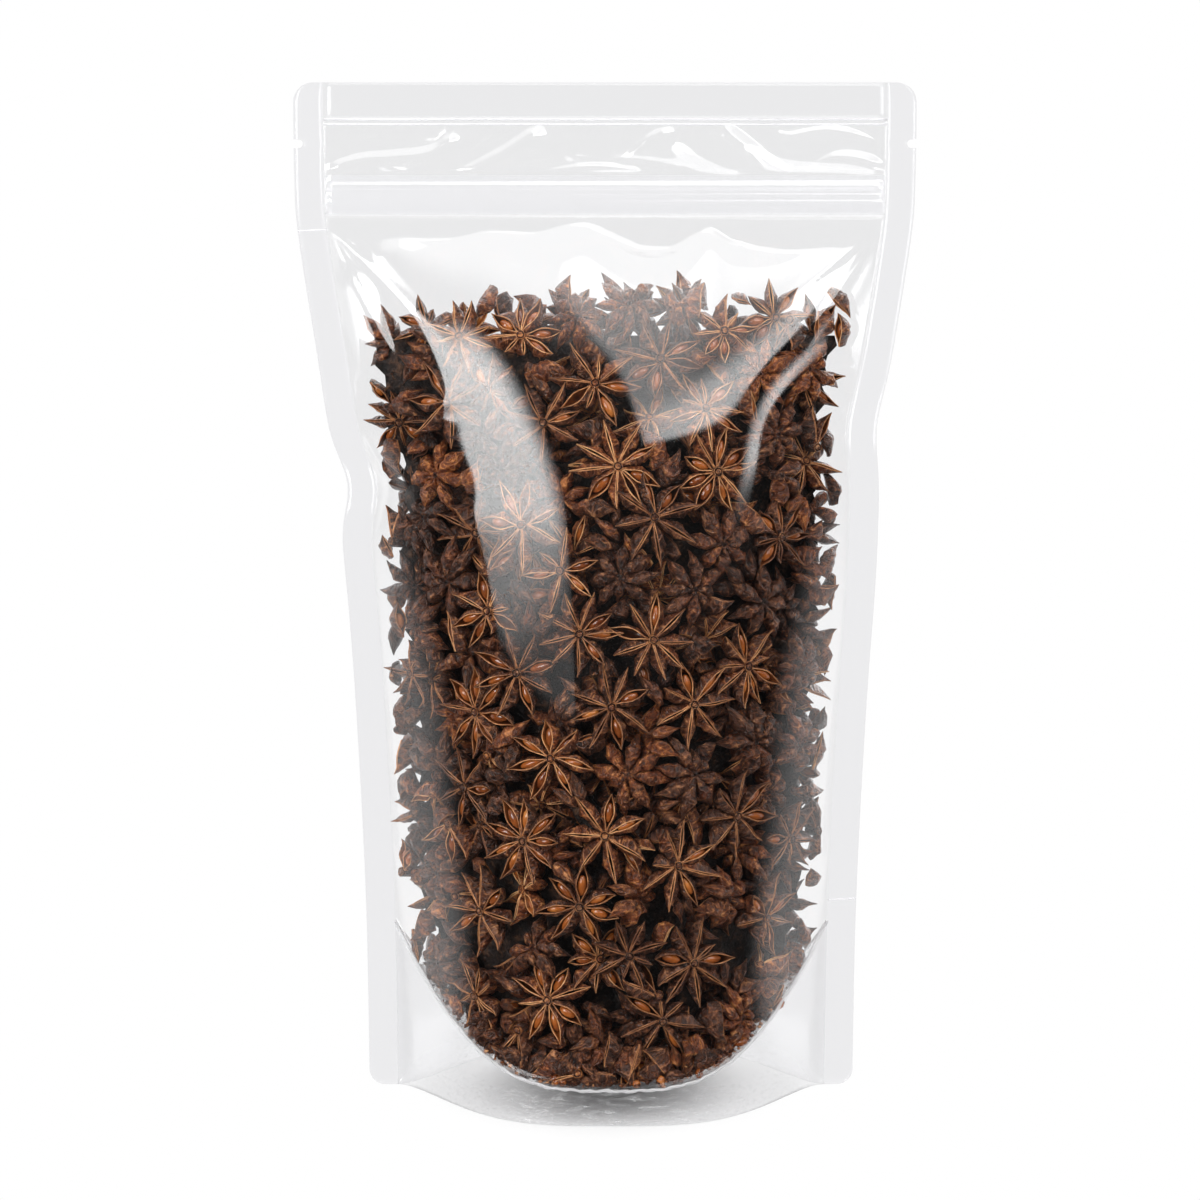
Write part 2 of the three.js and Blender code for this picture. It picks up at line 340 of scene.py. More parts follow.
# Levels of detail: where a carpel's rings are, steps down its outside and its inside, sides of the column.
FINE = dict(
    stations=(0, 0.11, 0.23, 0.35, 0.47, 0.58, 0.69, 0.79, 0.88, 0.95, 1),
    outer=5,
    inner=2,
    column=10,
)
MEDIUM = dict(stations=(0, 0.17, 0.34, 0.5, 0.66, 0.82, 0.93, 1), outer=3, inner=1, column=7)
COARSE = dict(stations=(0, 0.2, 0.42, 0.64, 0.82, 1), outer=2, inner=1, column=5)
OPEN_GAPE = 0.5
SEEDED = 0.86  # share of the open carpels that still hold their seed
HUSK, LIPS, INSIDE, SEED, SHADE = range(5)  # material slots of the contents


def bezier(a, b, c, d, t):
    return a * (1 - t) ** 3 + 3 * b * t * (1 - t) ** 2 + 3 * c * t**2 * (1 - t) + d * t**3


def wrinkles(stations, around, count):
    """Folds of the dried husk, along and round each carpel, different on each."""
    total = np.zeros((count, len(stations), len(around)))
    for strength, rate_along, rate_around in ((0.5, 17, 2), (0.45, 29, 3), (0.35, 11, 5), (0.3, 40, 4)):
        phase = rng.uniform(0, 2 * np.pi, (count, 1, 1))
        total += strength * np.sin(rate_along * stations[:, None] + rate_around * around + phase)
    return total


def carpel_grids(length, width, gape, detail):
    """Rings of points (carpel, station, loop, 3) for carpels that lie along +X, how high each fold is,
    and where each point is on the carpel's own skin: along it, round it, and which carpel."""
    count = len(length)
    s = np.array(detail["stations"])

    def wave(rate):
        return np.sin(s * rate + rng.uniform(0, 2 * np.pi, (count, 1)))

    reach = COLUMN_RADIUS + (length[:, None] - COLUMN_RADIUS) * s
    gap = gape[:, None] * along(CARPEL_GAPE, s)
    half = np.minimum(width[:, None] * along(CARPEL_WIDTH, s), 0.5 + 0.42 * reach)
    half = np.maximum(half * (1 + 0.10 * wave(9) * wave(23)), gap + 0.1)
    rim = along(CARPEL_RIM, s) + 0.15 * wave(7)
    keel = along(CARPEL_KEEL, s) + 1.4 * s * (1 - s) * wave(14)
    keel = np.minimum(keel, rim - 0.25)
    deep = rim - keel
    lip = LIP * np.minimum(1, 3 * (1 - s) + 0.25) * np.ones((count, 1))
    hollow = np.maximum(deep - 0.7, 0.12)
    gap, half, rim, keel, deep, lip, hollow, reach = (
        v[..., None] for v in (gap, half, rim, keel, deep, lip, hollow, reach)
    )
    t_out = np.linspace(0, 1, detail["outer"] + 1)
    t_in = np.linspace(0, 1, detail["inner"] + 1)
    belly = np.maximum(half * 1.32, (gap + lip) * 1.03)
    out_x = bezier(gap + lip, belly, half * 0.8, 0, t_out)
    out_z = bezier(rim, rim - 0.33 * deep, keel + 0.04 * deep, keel, t_out)
    in_x = bezier(gap, np.maximum(belly - HUSK_WALL, gap), np.maximum(half * 0.8 - HUSK_WALL, 0), 0, t_in)
    in_z = rim - bezier(0.06, 0.33 * hollow, 0.96 * hollow, hollow, t_in)
    crest_x, crest_z = gap + 0.5 * lip, rim + 0.16 * lip / LIP
    x = np.concatenate([out_x, -out_x[..., -2::-1], -crest_x, -in_x, in_x[..., -2::-1], crest_x], -1)
    z = np.concatenate([out_z, out_z[..., -2::-1], crest_z, in_z, in_z[..., -2::-1], crest_z], -1)
    loop = np.arange(x.shape[-1])
    husk_side = loop <= 2 * detail["outer"]
    fold = wrinkles(s, loop / len(loop) * 2 * np.pi, count) * husk_side
    fade = np.sin(np.pi * np.clip(loop / (2 * detail["outer"]), 0, 1)) ** 0.5
    push = 0.42 * fold * fade * np.minimum(1, 6 * (1 - s))[:, None] * np.minimum(1, deep / 3)
    middle = (rim + keel) / 2
    size = np.hypot(x, z - middle) + 0.3
    points = [np.broadcast_to(reach, x.shape), x * (1 + push / size), z + push * (z - middle) / size]
    skin = np.broadcast_arrays(reach, loop * (13 / len(loop)), 0 * x)
    return np.stack(points, -1), fold, np.stack(skin, -1) + rng.uniform(0, 400, (count, 1, 1, 3))


def turned(points, angle, axis):
    """Points (n, m, 3), each row turned about one axis by its own angle."""
    a, b = ((1, 2), (2, 0), (0, 1))[axis]
    c, s = np.cos(angle)[:, None], np.sin(angle)[:, None]
    out = points.copy()
    out[..., a] = c * points[..., a] - s * points[..., b]
    out[..., b] = s * points[..., a] + c * points[..., b]
    return out


def ellipsoids(centre, radii, rings, sides):
    """Ellipsoids (n) that point along X, as rings with poles."""
    down = np.linspace(0, np.pi, rings + 2)[1:-1, None]
    round_ = np.arange(sides) / sides * 2 * np.pi
    wide = np.sin(down)
    unit = np.stack(np.broadcast_arrays(-np.cos(down), wide * np.cos(round_), wide * np.sin(round_)), -1)
    grid = centre[:, None, None] + unit * radii[:, None, None]
    end = radii * (1, 0, 0)
    return rings_with_poles(grid, centre - end, centre + end)


def carpel_sizes(pods):
    """One row of values for each carpel of the pods."""
    rows = []
    for number, pod in enumerate(pods):
        for k in range(pod["carpels"]):
            runt = rng.random() < pod["runts"]
            size = pod["size"] * (0.62 if runt else 1)
            shut = runt or rng.random() < pod["shut"]
            rows.append((
                number,
                (k + rng.normal(0, 0.06)) * 2 * np.pi / pod["arms"],
                CARPEL_LENGTH * size * rng.uniform(0.86, 1.04),
                pod["size"] * rng.uniform(2.3, 2.95) * (0.8 if runt else 1),
                rng.uniform(0.06, 0.3) if shut else rng.uniform(0.6, 1.65),
                np.clip(rng.normal(0.0, 0.07), -0.12, 0.08),
                rng.normal(0, 0.2),
                rng.normal(0, 0.8),
            ))
    columns = np.array(rows).T
    return columns[0].astype(int), *columns[1:]


def add_pods(parts, pods, detail, walls):
    """Adds pods, each a dict as star_anise_heap makes it."""
    pod_of, azimuth, length, width, gape, lift, twist, bend = carpel_sizes(pods)
    if detail is COARSE:
        gape = np.minimum(gape, 0.1)
    turns = np.array([pod["turn"] for pod in pods])
    centres = np.array([pod["centre"] for pod in pods])
    tone = np.array([pod["tone"] for pod in pods])

    def placed(points, which):
        for angle, axis in ((twist[which], 0), (-lift[which], 1), (azimuth[which], 2)):
            points = turned(points, angle, axis)
        owner = pod_of[which]
        world = np.einsum("nij,nkj->nki", turns[owner], points) + centres[owner, None]
        return walls.press(world.reshape(-1, 3))

    grid, fold, skin = carpel_grids(length, width, gape, detail)
    count, stations, loop = grid.shape[:3]
    grid[..., 1] += (bend[:, None] * np.array(detail["stations"]) ** 2)[..., None]
    first = grid[:, 0].mean(1) - (0.3, 0, 0)
    last = grid[:, -1].mean(1) + (0.15, 0, 0.1)
    points = rings_with_poles(grid, first, last)
    skin = rings_with_poles(skin, skin[:, 0, 0], skin[:, -1, 0])
    fold = np.pad(fold.reshape(count, -1), ((0, 0), (0, 2)))
    pattern = [HUSK] * (2 * detail["outer"]) + [LIPS] * 2 + [INSIDE] * (2 * detail["inner"]) + [LIPS] * 2
    slots = np.tile(pattern, (count, stations - 1, 1))
    # Shut carpels show painted shade in their slits instead of their inside colour.
    slots[(gape < OPEN_GAPE)[:, None, None] & (slots == INSIDE)] = SHADE
    tones = np.repeat(tone[pod_of] + rng.normal(0, 0.3, count), points.shape[1])
    everyone = np.arange(count)
    # ridge is the height of each fold: the husk takes painted shade in its hollows and a painted highlight
    # on its crests from it.
    parts.add(
        placed(points, everyone), *ring_faces(count, stations, loop), slots.ravel(), HUSK,
        tone=tones, ridge=fold.ravel(), skin=skin.reshape(-1, 3),
    )
    if detail is not COARSE:
        seeded = np.flatnonzero((gape > OPEN_GAPE) & (rng.random(count) < SEEDED))
        add_seeds(parts, placed, seeded, length, width, gape, bend)
    whole = np.array([pod["carpels"] > 1 for pod in pods])
    add_columns(parts, turns[whole], centres[whole], tone[whole], detail["column"])


def add_seeds(parts, placed, which, length, width, gape, bend):
    """A smooth seed in each of the carpels that are open wide enough."""
    count = len(which)
    if not count:
        return
    centre = np.stack([
        length[which] * rng.uniform(0.47, 0.54, count),
        bend[which] * 0.25,
        rng.uniform(0.3, 0.7, count),
    ], -1)
    radii = np.stack([
        length[which] * rng.uniform(0.21, 0.26, count),
        np.minimum(width[which] * 0.72, gape[which] * 0.5 + 0.85),
        rng.uniform(1.4, 1.7, count),
    ], -1)
    rings, sides = 5, 8
    points = ellipsoids(centre, radii, rings, sides)
    tone = np.repeat(rng.normal(0, 0.6, count), points.shape[1])
    world = placed(points, which)
    parts.add(world, *ring_faces(count, rings, sides), SEED, SEED, tone=tone, ridge=0.0, skin=world)


def add_columns(parts, turns, centres, tone, sides):
    """The column in the middle of each pod: a pale ring round a dark groove and a small disc."""
    count = len(centres)
    radius, height, pale = np.array(COLUMN_PROFILE).T
    rough = rng.standard_normal((count, 1, sides))
    radius = radius[:, None] * (1 + 0.06 * rough)
    round_ = np.arange(sides) / sides * 2 * np.pi
    rings = np.broadcast_arrays(radius * np.cos(round_), radius * np.sin(round_), height[:, None])
    grid = np.stack(rings, -1)
    ends = np.zeros((2, count, 3))
    ends[0, :, 2], ends[1, :, 2] = -1.4, 2.5
    points = rings_with_poles(grid, *ends)
    ridge = np.concatenate([np.repeat(pale, sides), (-3, 1)])
    world = (np.einsum("nij,nkj->nki", turns, points) + centres[:, None]).reshape(-1, 3)
    tones = np.repeat(tone, points.shape[1])
    quads, tris = ring_faces(count, len(height), sides)
    parts.add(world, quads, tris, HUSK, HUSK, tone=tones, ridge=np.tile(ridge, count), skin=world)


# ---- Star anise: how the pods lie ---------------------------------------------------------------

# A pod is felt by its neighbours as balls: three on each carpel and one at the column.
CARPEL_BALLS = ((5.4, -0.9, 2.8), (9.4, -0.5, 2.4), (13.0, 1.9, 1.1))  # distance out, height, radius
COLUMN_BALL = (-0.3, 2.6)  # height, radius
BALL_CELL = 6.6  # wider than the widest ball, so that balls that touch are in neighbouring cells
MOST_ARMS = 9
POD_THICKNESS = 6.6
POD_ACROSS = 18.0  # less than a pod's width, because the carpels of neighbours reach between each other
MOST_PODS = 2500
TABLE_STEP = 1.0

SHOWN_DEPTH = 4.2
# Pods that lie open side out against the front film, this deep under it: across, height.
SHOWN_PODS = (
    (-17, 113), (0, 90), (15, 149), (15, 186), (4, 201), (35, 199), (17, 233), (31, 218), (-8, 151),
    (-28, 138), (-41, 125), (2, 129), (-45, 101), (-26, 87), (-40, 63), (-8, 68), (-18, 38), (18, 32),
    (42, 93), (45, 139), (28, 129), (28, 49), (52, 59), (-26, 183), (-49, 219), (-19, 214),
)


class Walls:
    """The film as the pods feel it, in tables over the front view: depth is how far their balls may reach
    from the middle plane, and room is how far any of their points may."""

    def __init__(self):
        self.x = np.arange(-96, 97, TABLE_STEP)
        self.z = np.arange(0, ZIP_LOW + 1, TABLE_STEP)
        x, z = np.meshgrid(self.x, self.z, indexing="ij")
        x = x - lean(z)
        side = np.where(x < 0, -1, 1)
        beyond = np.abs(x) - inner_half_width(side, z)
        self.depth = np.where(beyond > 0, -beyond, film_depth(x, z) - CLEARANCE)
        sunk = np.minimum(np.minimum(relief(x, z, -1), relief(x, z, 1)), 0)
        self.room = np.maximum(film_depth(x, z) + sunk - FILM - 0.1, 0.1)
        self.slope_x, self.slope_z = np.gradient(self.depth, TABLE_STEP)

    def read(self, table, x, z):
        i = np.clip((x - self.x[0]) / TABLE_STEP, 0, len(self.x) - 1.001)
        k = np.clip((z - self.z[0]) / TABLE_STEP, 0, len(self.z) - 1.001)
        i0, k0 = i.astype(int), k.astype(int)
        part_i, part_k = i - i0, k - k0
        low = table[i0, k0] * (1 - part_i) + table[i0 + 1, k0] * part_i
        high = table[i0, k0 + 1] * (1 - part_i) + table[i0 + 1, k0 + 1] * part_i
        return low * (1 - part_k) + high * part_k

    def press(self, points):
        """Flattens whatever pokes out of the film against its inner face."""
        room = self.read(self.room, points[:, 0], points[:, 2])
        points[:, 1] = np.clip(points[:, 1], -room, room)
        return points

    def outward(self, x, z, side):
        """Unit normals of the film, and how steep it is."""
        slope_x, slope_z = self.read(self.slope_x, x, z), self.read(self.slope_z, x, z)
        normal = np.stack([-slope_x, side + 0 * x, -slope_z], -1)
        size = np.linalg.norm(normal, axis=-1, keepdims=True)
        return normal / size, size[..., 0]

    def push(self, points, radius):
        """How far each ball has to move to lie inside the film."""
        x, y, z = points.T
        depth = self.read(self.depth, x, z)
        total = np.zeros_like(points)
        for side in (-1, 1):
            normal, steep = self.outward(x, z, side)
            short = np.maximum(radius - (depth - side * y) / steep, 0)
            total -= short[:, None] * normal
        half_width = BASE_HALF_WIDTH - SIDE_SEAL
        across = (x - LEAN) / half_width
        floor = floor_height(np.abs(across), np.clip(np.abs(y) / np.maximum(depth, 1), 0, 1))
        slope = 3 * (BOTTOM_SEAL_HIGH - BOTTOM_SEAL_LOW) * across * np.abs(across) / half_width
        steep = np.sqrt(1 + slope**2)
        short = np.maximum(0.75 * radius + CLEARANCE - (z - floor) / steep, 0)
        total[:, 0] -= short * slope / steep
        total[:, 2] += short / steep
        return total


def facing(normal, spin, back):
    """Turns that bring a pod's open side, or its back, to face along a direction."""
    n = normal / np.linalg.norm(normal, axis=1, keepdims=True)
    n = np.where(back[:, None], -n, n)
    up = np.where(np.abs(n[:, 2:]) > 0.9, ((1.0, 0, 0),), ((0, 0, 1.0),))
    a = np.cross(up, n)
    a /= np.linalg.norm(a, axis=1, keepdims=True)
    b = np.cross(n, a)
    c, s = np.cos(spin)[:, None], np.sin(spin)[:, None]
    return np.stack([a * c + b * s, b * c - a * s, n], -1)


class Layout:
    """Where pods and broken pieces of pods start."""

    def __init__(self):
        self.rows = []
        self.centres = np.zeros((MOST_PODS, 3))
        self.normals = np.zeros((MOST_PODS, 3))
        self.rooms = np.zeros(MOST_PODS)

    def put(self, **row):
        number = len(self.rows)
        self.centres[number] = row["centre"]
        self.normals[number] = row["normal"] / np.linalg.norm(row["normal"])
        self.rooms[number] = row["room"]
        self.rows.append(row)

    def column(self, key):
        return np.array([row[key] for row in self.rows])

    def is_clear(self, centre, normal, thick, room):
        """Whether a flat body here keeps its distance from all others."""
        number = len(self.rows)
        off = centre - self.centres[:number]
        wide = (self.rooms[:number] + room) / 2
        for lines in (self.normals[:number], normal):
            over = (off * lines).sum(1)
            aside = (off**2).sum(1) - over**2
            if ((over / thick) ** 2 + aside / wide**2).min() < 1:
                return False
        return True


def heap_layout(walls):
    """Shells of pods under the film, filled by throwing darts that keep their distance."""
    layout = Layout()
    for x, z in SHOWN_PODS:
        x, z = np.array([float(x)]), np.array([float(z)])
        normal = walls.outward(x, z, -1)[0][0]
        face = np.array([x[0], -walls.read(walls.depth, x, z)[0], z[0]])
        arms = rng.choice((7, 8, 8, 8, 9))
        layout.put(
            centre=face - SHOWN_DEPTH * normal, normal=normal + rng.normal(0, 0.14, 3), back=False,
            shown=True, pull=0.16, arms=arms, carpels=arms, size=rng.uniform(0.97, 1.08), room=POD_ACROSS,
        )
    border_pods(walls, layout)
    # how deep below the film, darts, spread of the normals, room each takes, carpels of a broken piece
    shells = (
        (4.8, 30000, 0.4, POD_ACROSS, None),
        (9.8, 26000, 0.6, POD_ACROSS, None),
        (5.5, 60000, 1.0, 7.0, (1, 1, 2, 3)),
        (9.5, 50000, 1.2, 7.5, (1, 1, 2, 3)),
        (15.0, 16000, 0.9, POD_ACROSS, None),
    )
    for deep, darts, spread, room, pieces in shells:
        x = rng.uniform(-84, 86, darts)
        z = rng.uniform(12, FILL_HEIGHT + 6, darts)
        side = rng.choice((-1, 1), darts)
        normal, steep = walls.outward(x, z, side)
        centre = np.stack([x, side * walls.read(walls.depth, x, z), z], -1) - normal * deep
        depth = walls.read(walls.depth, centre[:, 0], centre[:, 2])
        across = np.abs(centre[:, 0] - LEAN) / (BASE_HALF_WIDTH - SIDE_SEAL)
        share = np.clip(np.abs(centre[:, 1]) / np.maximum(depth, 1), 0, 1)
        inside = (np.abs(centre[:, 1]) < depth - 0.5 * min(deep, 6)) & (side * centre[:, 1] > -1.5)
        inside &= rng.random(darts) < steep / 4
        inside &= centre[:, 2] > floor_height(across, share) + 4.5
        inside &= centre[:, 2] < heap_top(centre[:, 0])
        for c, n in zip(centre[inside], normal[inside]):
            if not layout.is_clear(c, n, POD_THICKNESS, room):
                continue
            arms = rng.choice((6, 7, 8, 9), p=(0.06, 0.2, 0.66, 0.08))
            layout.put(
                centre=c, normal=n + rng.normal(0, spread, 3), back=rng.random() < 0.55, shown=False,
                pull=0.16 if deep < 12 else 0.04, arms=arms, carpels=rng.choice(pieces) if pieces else arms,
                size=rng.uniform(0.84, 1.06), room=room,
            )
    return layout


def heap_top(x):
    """How high the pods' centres reach."""
    return FILL_HEIGHT - 1 + 3 * np.sin(x / 17 + 1)


def border_path(inset):
    """The outline of the contents as the front shows it, moved in by an inset."""
    top = np.linspace(FILL_HEIGHT - 3 - inset / 2, BOTTOM_SEAL_HIGH + 2, 60)
    bottom = np.linspace(-1, 1, 121)
    z = np.concatenate([top, seal_height(np.abs(bottom)), top[::-1]])
    u = np.concatenate([-np.ones(60), bottom, np.ones(60)])
    x = across_at(u, z)
    ahead = np.gradient(np.stack([x, z], -1), axis=0)
    ahead /= np.linalg.norm(ahead, axis=1, keepdims=True)
    inward = np.stack([-ahead[:, 1], ahead[:, 0]], -1)
    return np.stack([x + lean(z), z], -1) + inset * inward


def border_spots(inset, nearest, farthest, rows=(-1, 1)):
    """Spots along the outline: across, height, and -1 in front, 0 in the middle or 1 at the back."""
    path = border_path(inset)
    steps = np.concatenate([[0], np.cumsum(np.linalg.norm(np.diff(path, axis=0), axis=1))])
    spots = []
    for front in rows:
        at = rng.uniform(0, nearest)
        while at < steps[-1]:
            spots.append((np.interp(at, steps, path[:, 0]), np.interp(at, steps, path[:, 1]), front))
            at += rng.uniform(nearest, farthest)
    return spots


def top_spots(lowered, front):
    """Spots along the top of the heap."""
    places = np.arange(-70, 72, 15.5)
    return [(x + rng.uniform(-2, 2), heap_top(x) - lowered, front) for x in places]


def border_pods(walls, layout):
    """Pods flat under the film along the outline of the contents and its top, and pieces between them."""
    whole, bits = (8,), (1, 1, 2)
    close, thin = POD_THICKNESS * 0.8, POD_THICKNESS * 0.5
    near = POD_ACROSS * 0.8
    # spots, thickness and room each takes, number of carpels, spread of the normals
    rows = (
        (border_spots(8.0, 11, 15, (0,)), POD_THICKNESS * 0.7, POD_ACROSS * 0.55, whole, 0.5),
        (top_spots(3, 0) + border_spots(15.0, 15.5, 19.5), close, near, whole, 0.25),
        (top_spots(8, -1) + top_spots(8, 1) + top_spots(16, 0), close, near, whole, 0.25),
        (border_spots(4.0, 5, 8, (-1, 0, 1)), thin, 3.0, bits, 1.0),
        (border_spots(8.0, 5, 8, (-1, 1)) + top_spots(8, -1) + top_spots(11, 1), thin, 3.0, bits, 1.0),
    )
    for spots, thick, room, carpels, spread in rows:
        for x, z, front in spots:
            x, z = np.array([x]), np.array([z])
            if front:
                outward = walls.outward(x, z, front)[0][0]
            else:
                outward = np.array([0.0, rng.choice((-1, 1)), 0.0])
            depth = walls.read(walls.depth, x, z)[0]
            y = front * max(depth - 4.5 / max(abs(outward[1]), 0.3), 0)
            centre = np.array([x[0], y, z[0]])
            if not layout.is_clear(centre, outward, thick, room):
                continue
            layout.put(
                centre=centre, normal=outward + rng.normal(0, spread, 3), back=rng.random() < 0.7,
                shown=False, pull=0.25 * abs(front), arms=8, carpels=rng.choice(carpels),
                size=rng.uniform(0.74, 0.94), room=POD_ACROSS if carpels is whole else room,
            )


def near_pairs(points):
    """Pairs of points in the same or in neighbouring cells of a grid."""
    spot = np.floor((points - points.min(0)) / BALL_CELL).astype(np.int64) + 1
    size = spot.max(0) + 2
    key = (spot[:, 0] * size[1] + spot[:, 1]) * size[2] + spot[:, 2]
    order = np.argsort(key, kind="stable")
    sorted_key = key[order]
    ways = [(0, 0, 0), (1, 0, 0)]
    ways += [(i, 1, 0) for i in (-1, 0, 1)]
    ways += [(i, j, 1) for i in (-1, 0, 1) for j in (-1, 0, 1)]
    pairs = []
    for i, j, k in ways:
        shift = (i * size[1] + j) * size[2] + k
        low = np.searchsorted(sorted_key, key + shift, "left")
        number = np.searchsorted(sorted_key, key + shift, "right") - low
        a = np.repeat(np.arange(len(points)), number)
        b = order[np.repeat(low - np.cumsum(number) + number, number) + np.arange(number.sum())]
        if shift == 0:
            a, b = a[a < b], b[a < b]
        pairs.append(np.stack([a, b]))
    return np.concatenate(pairs, 1)


def pod_balls(arms, carpels, sizes):
    """The balls of each pod, in its own space, and their radii, 0 for those that it hasn't got."""
    per = len(CARPEL_BALLS)
    local = np.zeros((len(arms), MOST_ARMS * per + 1, 3))
    radius = np.zeros(local.shape[:2])
    for i, size in enumerate(sizes):
        for k in range(carpels[i]):
            angle = 2 * np.pi * k / arms[i]
            for j, (out, up, ball) in enumerate(CARPEL_BALLS):
                local[i, k * per + j] = (out * size * np.cos(angle), out * size * np.sin(angle), up)
                radius[i, k * per + j] = ball * size
        local[i, -1, 2], radius[i, -1] = COLUMN_BALL
    return local, radius


def moves_apart(p, r, owner, mass, pairs):
    """How far each ball moves away from those that it overlaps, and the lighter pod's further."""
    a, b = pairs
    gap = p[b] - p[a]
    distance = np.sqrt((gap**2).sum(1)) + 1e-9
    short = r[a] + r[b] - distance
    hit = short > 0
    a, b, gap, distance, short = (v[hit] for v in (a, b, gap, distance, short))
    light_a, light_b = 1 / mass[owner[a]], 1 / mass[owner[b]]
    part = gap / distance[:, None] * (short / (light_a + light_b))[:, None]
    move = np.zeros_like(p)
    for axis in range(3):
        move[:, axis] += np.bincount(b, part[:, axis] * light_b, len(p))
        move[:, axis] -= np.bincount(a, part[:, axis] * light_a, len(p))
    hits = np.bincount(a, minlength=len(p)) + np.bincount(b, minlength=len(p))
    return move * (0.9 / np.maximum(hits, 1)[:, None])


def best_fit(local, moved, weight, turns, stiff):
    """The turn and the place of each pod that fit its moved balls best. stiff keeps it from turning."""
    local_middle = (local * weight[..., None]).sum(1)
    moved_middle = (moved * weight[..., None]).sum(1)
    from_middle = moved - moved_middle[:, None], local - local_middle[:, None]
    spread = np.einsum("nk,nki,nkj->nij", weight, *from_middle)
    u, _, vt = np.linalg.svd(spread + stiff * turns)
    u[np.linalg.det(u @ vt) < 0, :, 2] *= -1
    turns = u @ vt
    return turns, moved_middle - np.einsum("nij,nj->ni", turns, local_middle)


def settle(walls, layout, steps=200):
    """Moves and turns rigid pods until they hardly cross each other or the film."""
    centres, normals, backs, shown = (layout.column(key) for key in ("centre", "normal", "back", "shown"))
    pull, arms, carpels, sizes = (layout.column(key) for key in ("pull", "arms", "carpels", "size"))
    count = len(centres)
    turns = facing(normals, rng.uniform(0, 2 * np.pi, count), backs)
    local, radius = pod_balls(arms, carpels, sizes)
    used = radius > 0
    broken = carpels < arms
    middle = (local * used[..., None]).sum(1) / used.sum(1)[:, None]
    centres[broken] -= np.einsum("nij,nj->ni", turns, middle)[broken]
    owner = np.repeat(np.arange(count), used.sum(1))
    r = radius[used]
    mass = np.where(shown, 6.0, np.where(broken, 0.3, 1.0))
    stiff = np.where(shown, 20.0, 4.0)[:, None, None]
    side = np.sign(centres[:, 1] + 1e-9)
    home = centres.copy()
    for step in range(steps):
        # each is drawn to the film and down, and the shown ones back to their place
        ease = 1 - step / steps
        centres += walls.outward(centres[:, 0], centres[:, 2], side)[0] * (pull * ease)[:, None]
        centres[:, 2] -= np.where(centres[:, 2] < 60, 0.16, 0.05) * ease
        centres[shown] += 0.3 * (home - centres)[shown] * (1, 0, 1)
        world = np.einsum("nij,nkj->nki", turns, local) + centres[:, None]
        p = world[used]
        if step % 4 == 0:
            pairs = near_pairs(p)
            pairs = pairs[:, owner[pairs[0]] != owner[pairs[1]]]
        move = moves_apart(p, r, owner, mass, pairs)
        move += walls.push(p + move, r)
        moved = world.copy()
        moved[used] = p + move
        # the balls that move most count most
        weight = np.zeros(local.shape[:2])
        weight[used] = 0.15 + 4 * np.minimum(np.sqrt((move**2).sum(1)), 1)
        weight /= weight.sum(1, keepdims=True)
        turns, centres = best_fit(local, moved, weight, turns, stiff)
    # last, each pod moves inside the film by as much as its worst ball needs
    for _ in range(4):
        out = np.zeros((*local.shape[:2], 3))
        world = np.einsum("nij,nkj->nki", turns, local) + centres[:, None]
        out[used] = walls.push(world[used], r)
        worst = np.linalg.norm(out, axis=2).argmax(1)
        centres += out[np.arange(count), worst]
    return centres, turns


def star_anise_heap(walls):
    """All pods, as dicts: where each lies and how it is turned, how many arms it has and how many carpels
    are left, the shares of runts and of shut ones among them, its tone, and how deep it lies."""
    layout = heap_layout(walls)
    centres, turns = settle(walls, layout)
    depth = walls.read(walls.depth, centres[:, 0], centres[:, 2]) - np.abs(centres[:, 1])
    steep = walls.outward(centres[:, 0], centres[:, 2], -1)[1]
    return [
        dict(
            centre=centres[i],
            turn=turns[i],
            size=row["size"],
            arms=row["arms"],
            carpels=row["carpels"],
            runts=0.04 if row["shown"] else 0.14,
            shut=rng.choice((0.2, 0.45, 0.7) if row["shown"] else (0.2, 0.5, 0.9)),
            tone=rng.normal(0, 1),
            deep=depth[i] / steep[i],
        )
        for i, row in enumerate(layout.rows)
    ]


# ---- Materials ----------------------------------------------------------------------------------

def linear(r, g, b):
    """A colour of three bytes, as the shaders want it."""
    return tuple(((v / 255 + 0.055) / 1.055) ** 2.4 if v > 10 else v / 255 / 12.92 for v in (r, g, b))


class Graph:
    """A node tree in the making."""

    def __init__(self, tree):
        self.tree = tree

    def node(self, kind, **settings):
        made = self.tree.nodes.new(kind)
        for key, value in settings.items():
            setattr(made, key, value)
        return made

    def link(self, source, target):
        self.tree.links.new(source, target)

    def maths(self, operation, *values):
        made = self.node("ShaderNodeMath", operation=operation)
        for socket, value in zip(made.inputs, values):
            if isinstance(value, (int, float)):
                socket.default_value = value
            else:
                self.link(value, socket)
        return made.outputs[0]

    def summed(self, start, *terms):
        """A start, plus each value times its own share."""
        total = start
        for value, share in terms:
            total = self.maths("MULTIPLY_ADD", value, share, total)
        return total

    def product(self, first, *others):
        total = first
        for value in others:
            total = self.maths("MULTIPLY", total, value)
        return total

    def rise(self, value, start, end, low=0.0, high=1.0):
        """A smooth step from low, where the value is start, to high, where it is end."""
        made = self.node("ShaderNodeMapRange", interpolation_type="SMOOTHSTEP")
        self.link(value, made.inputs["Value"])
        for name, number in (("From Min", start), ("From Max", end), ("To Min", low), ("To Max", high)):
            made.inputs[name].default_value = number
        return made.outputs["Result"]

    def beside(self, split, low, high):
        """High where a place or a way lies beside the pouch or further back, and low in front of it."""
        aside = self.maths("ABSOLUTE", split.outputs["X"])
        return self.rise(self.maths("DIVIDE", split.outputs["Y"], aside), -0.14, 0.14, low, high)

    def mixed(self, share, first, second):
        """Two shaders mixed: the first where the share is 0 and the second where it is 1."""
        made = self.node("ShaderNodeMixShader")
        if isinstance(share, float):
            made.inputs["Fac"].default_value = share
        else:
            self.link(share, made.inputs["Fac"])
        self.link(first, made.inputs[1])
        self.link(second, made.inputs[2])
        return made.outputs[0]


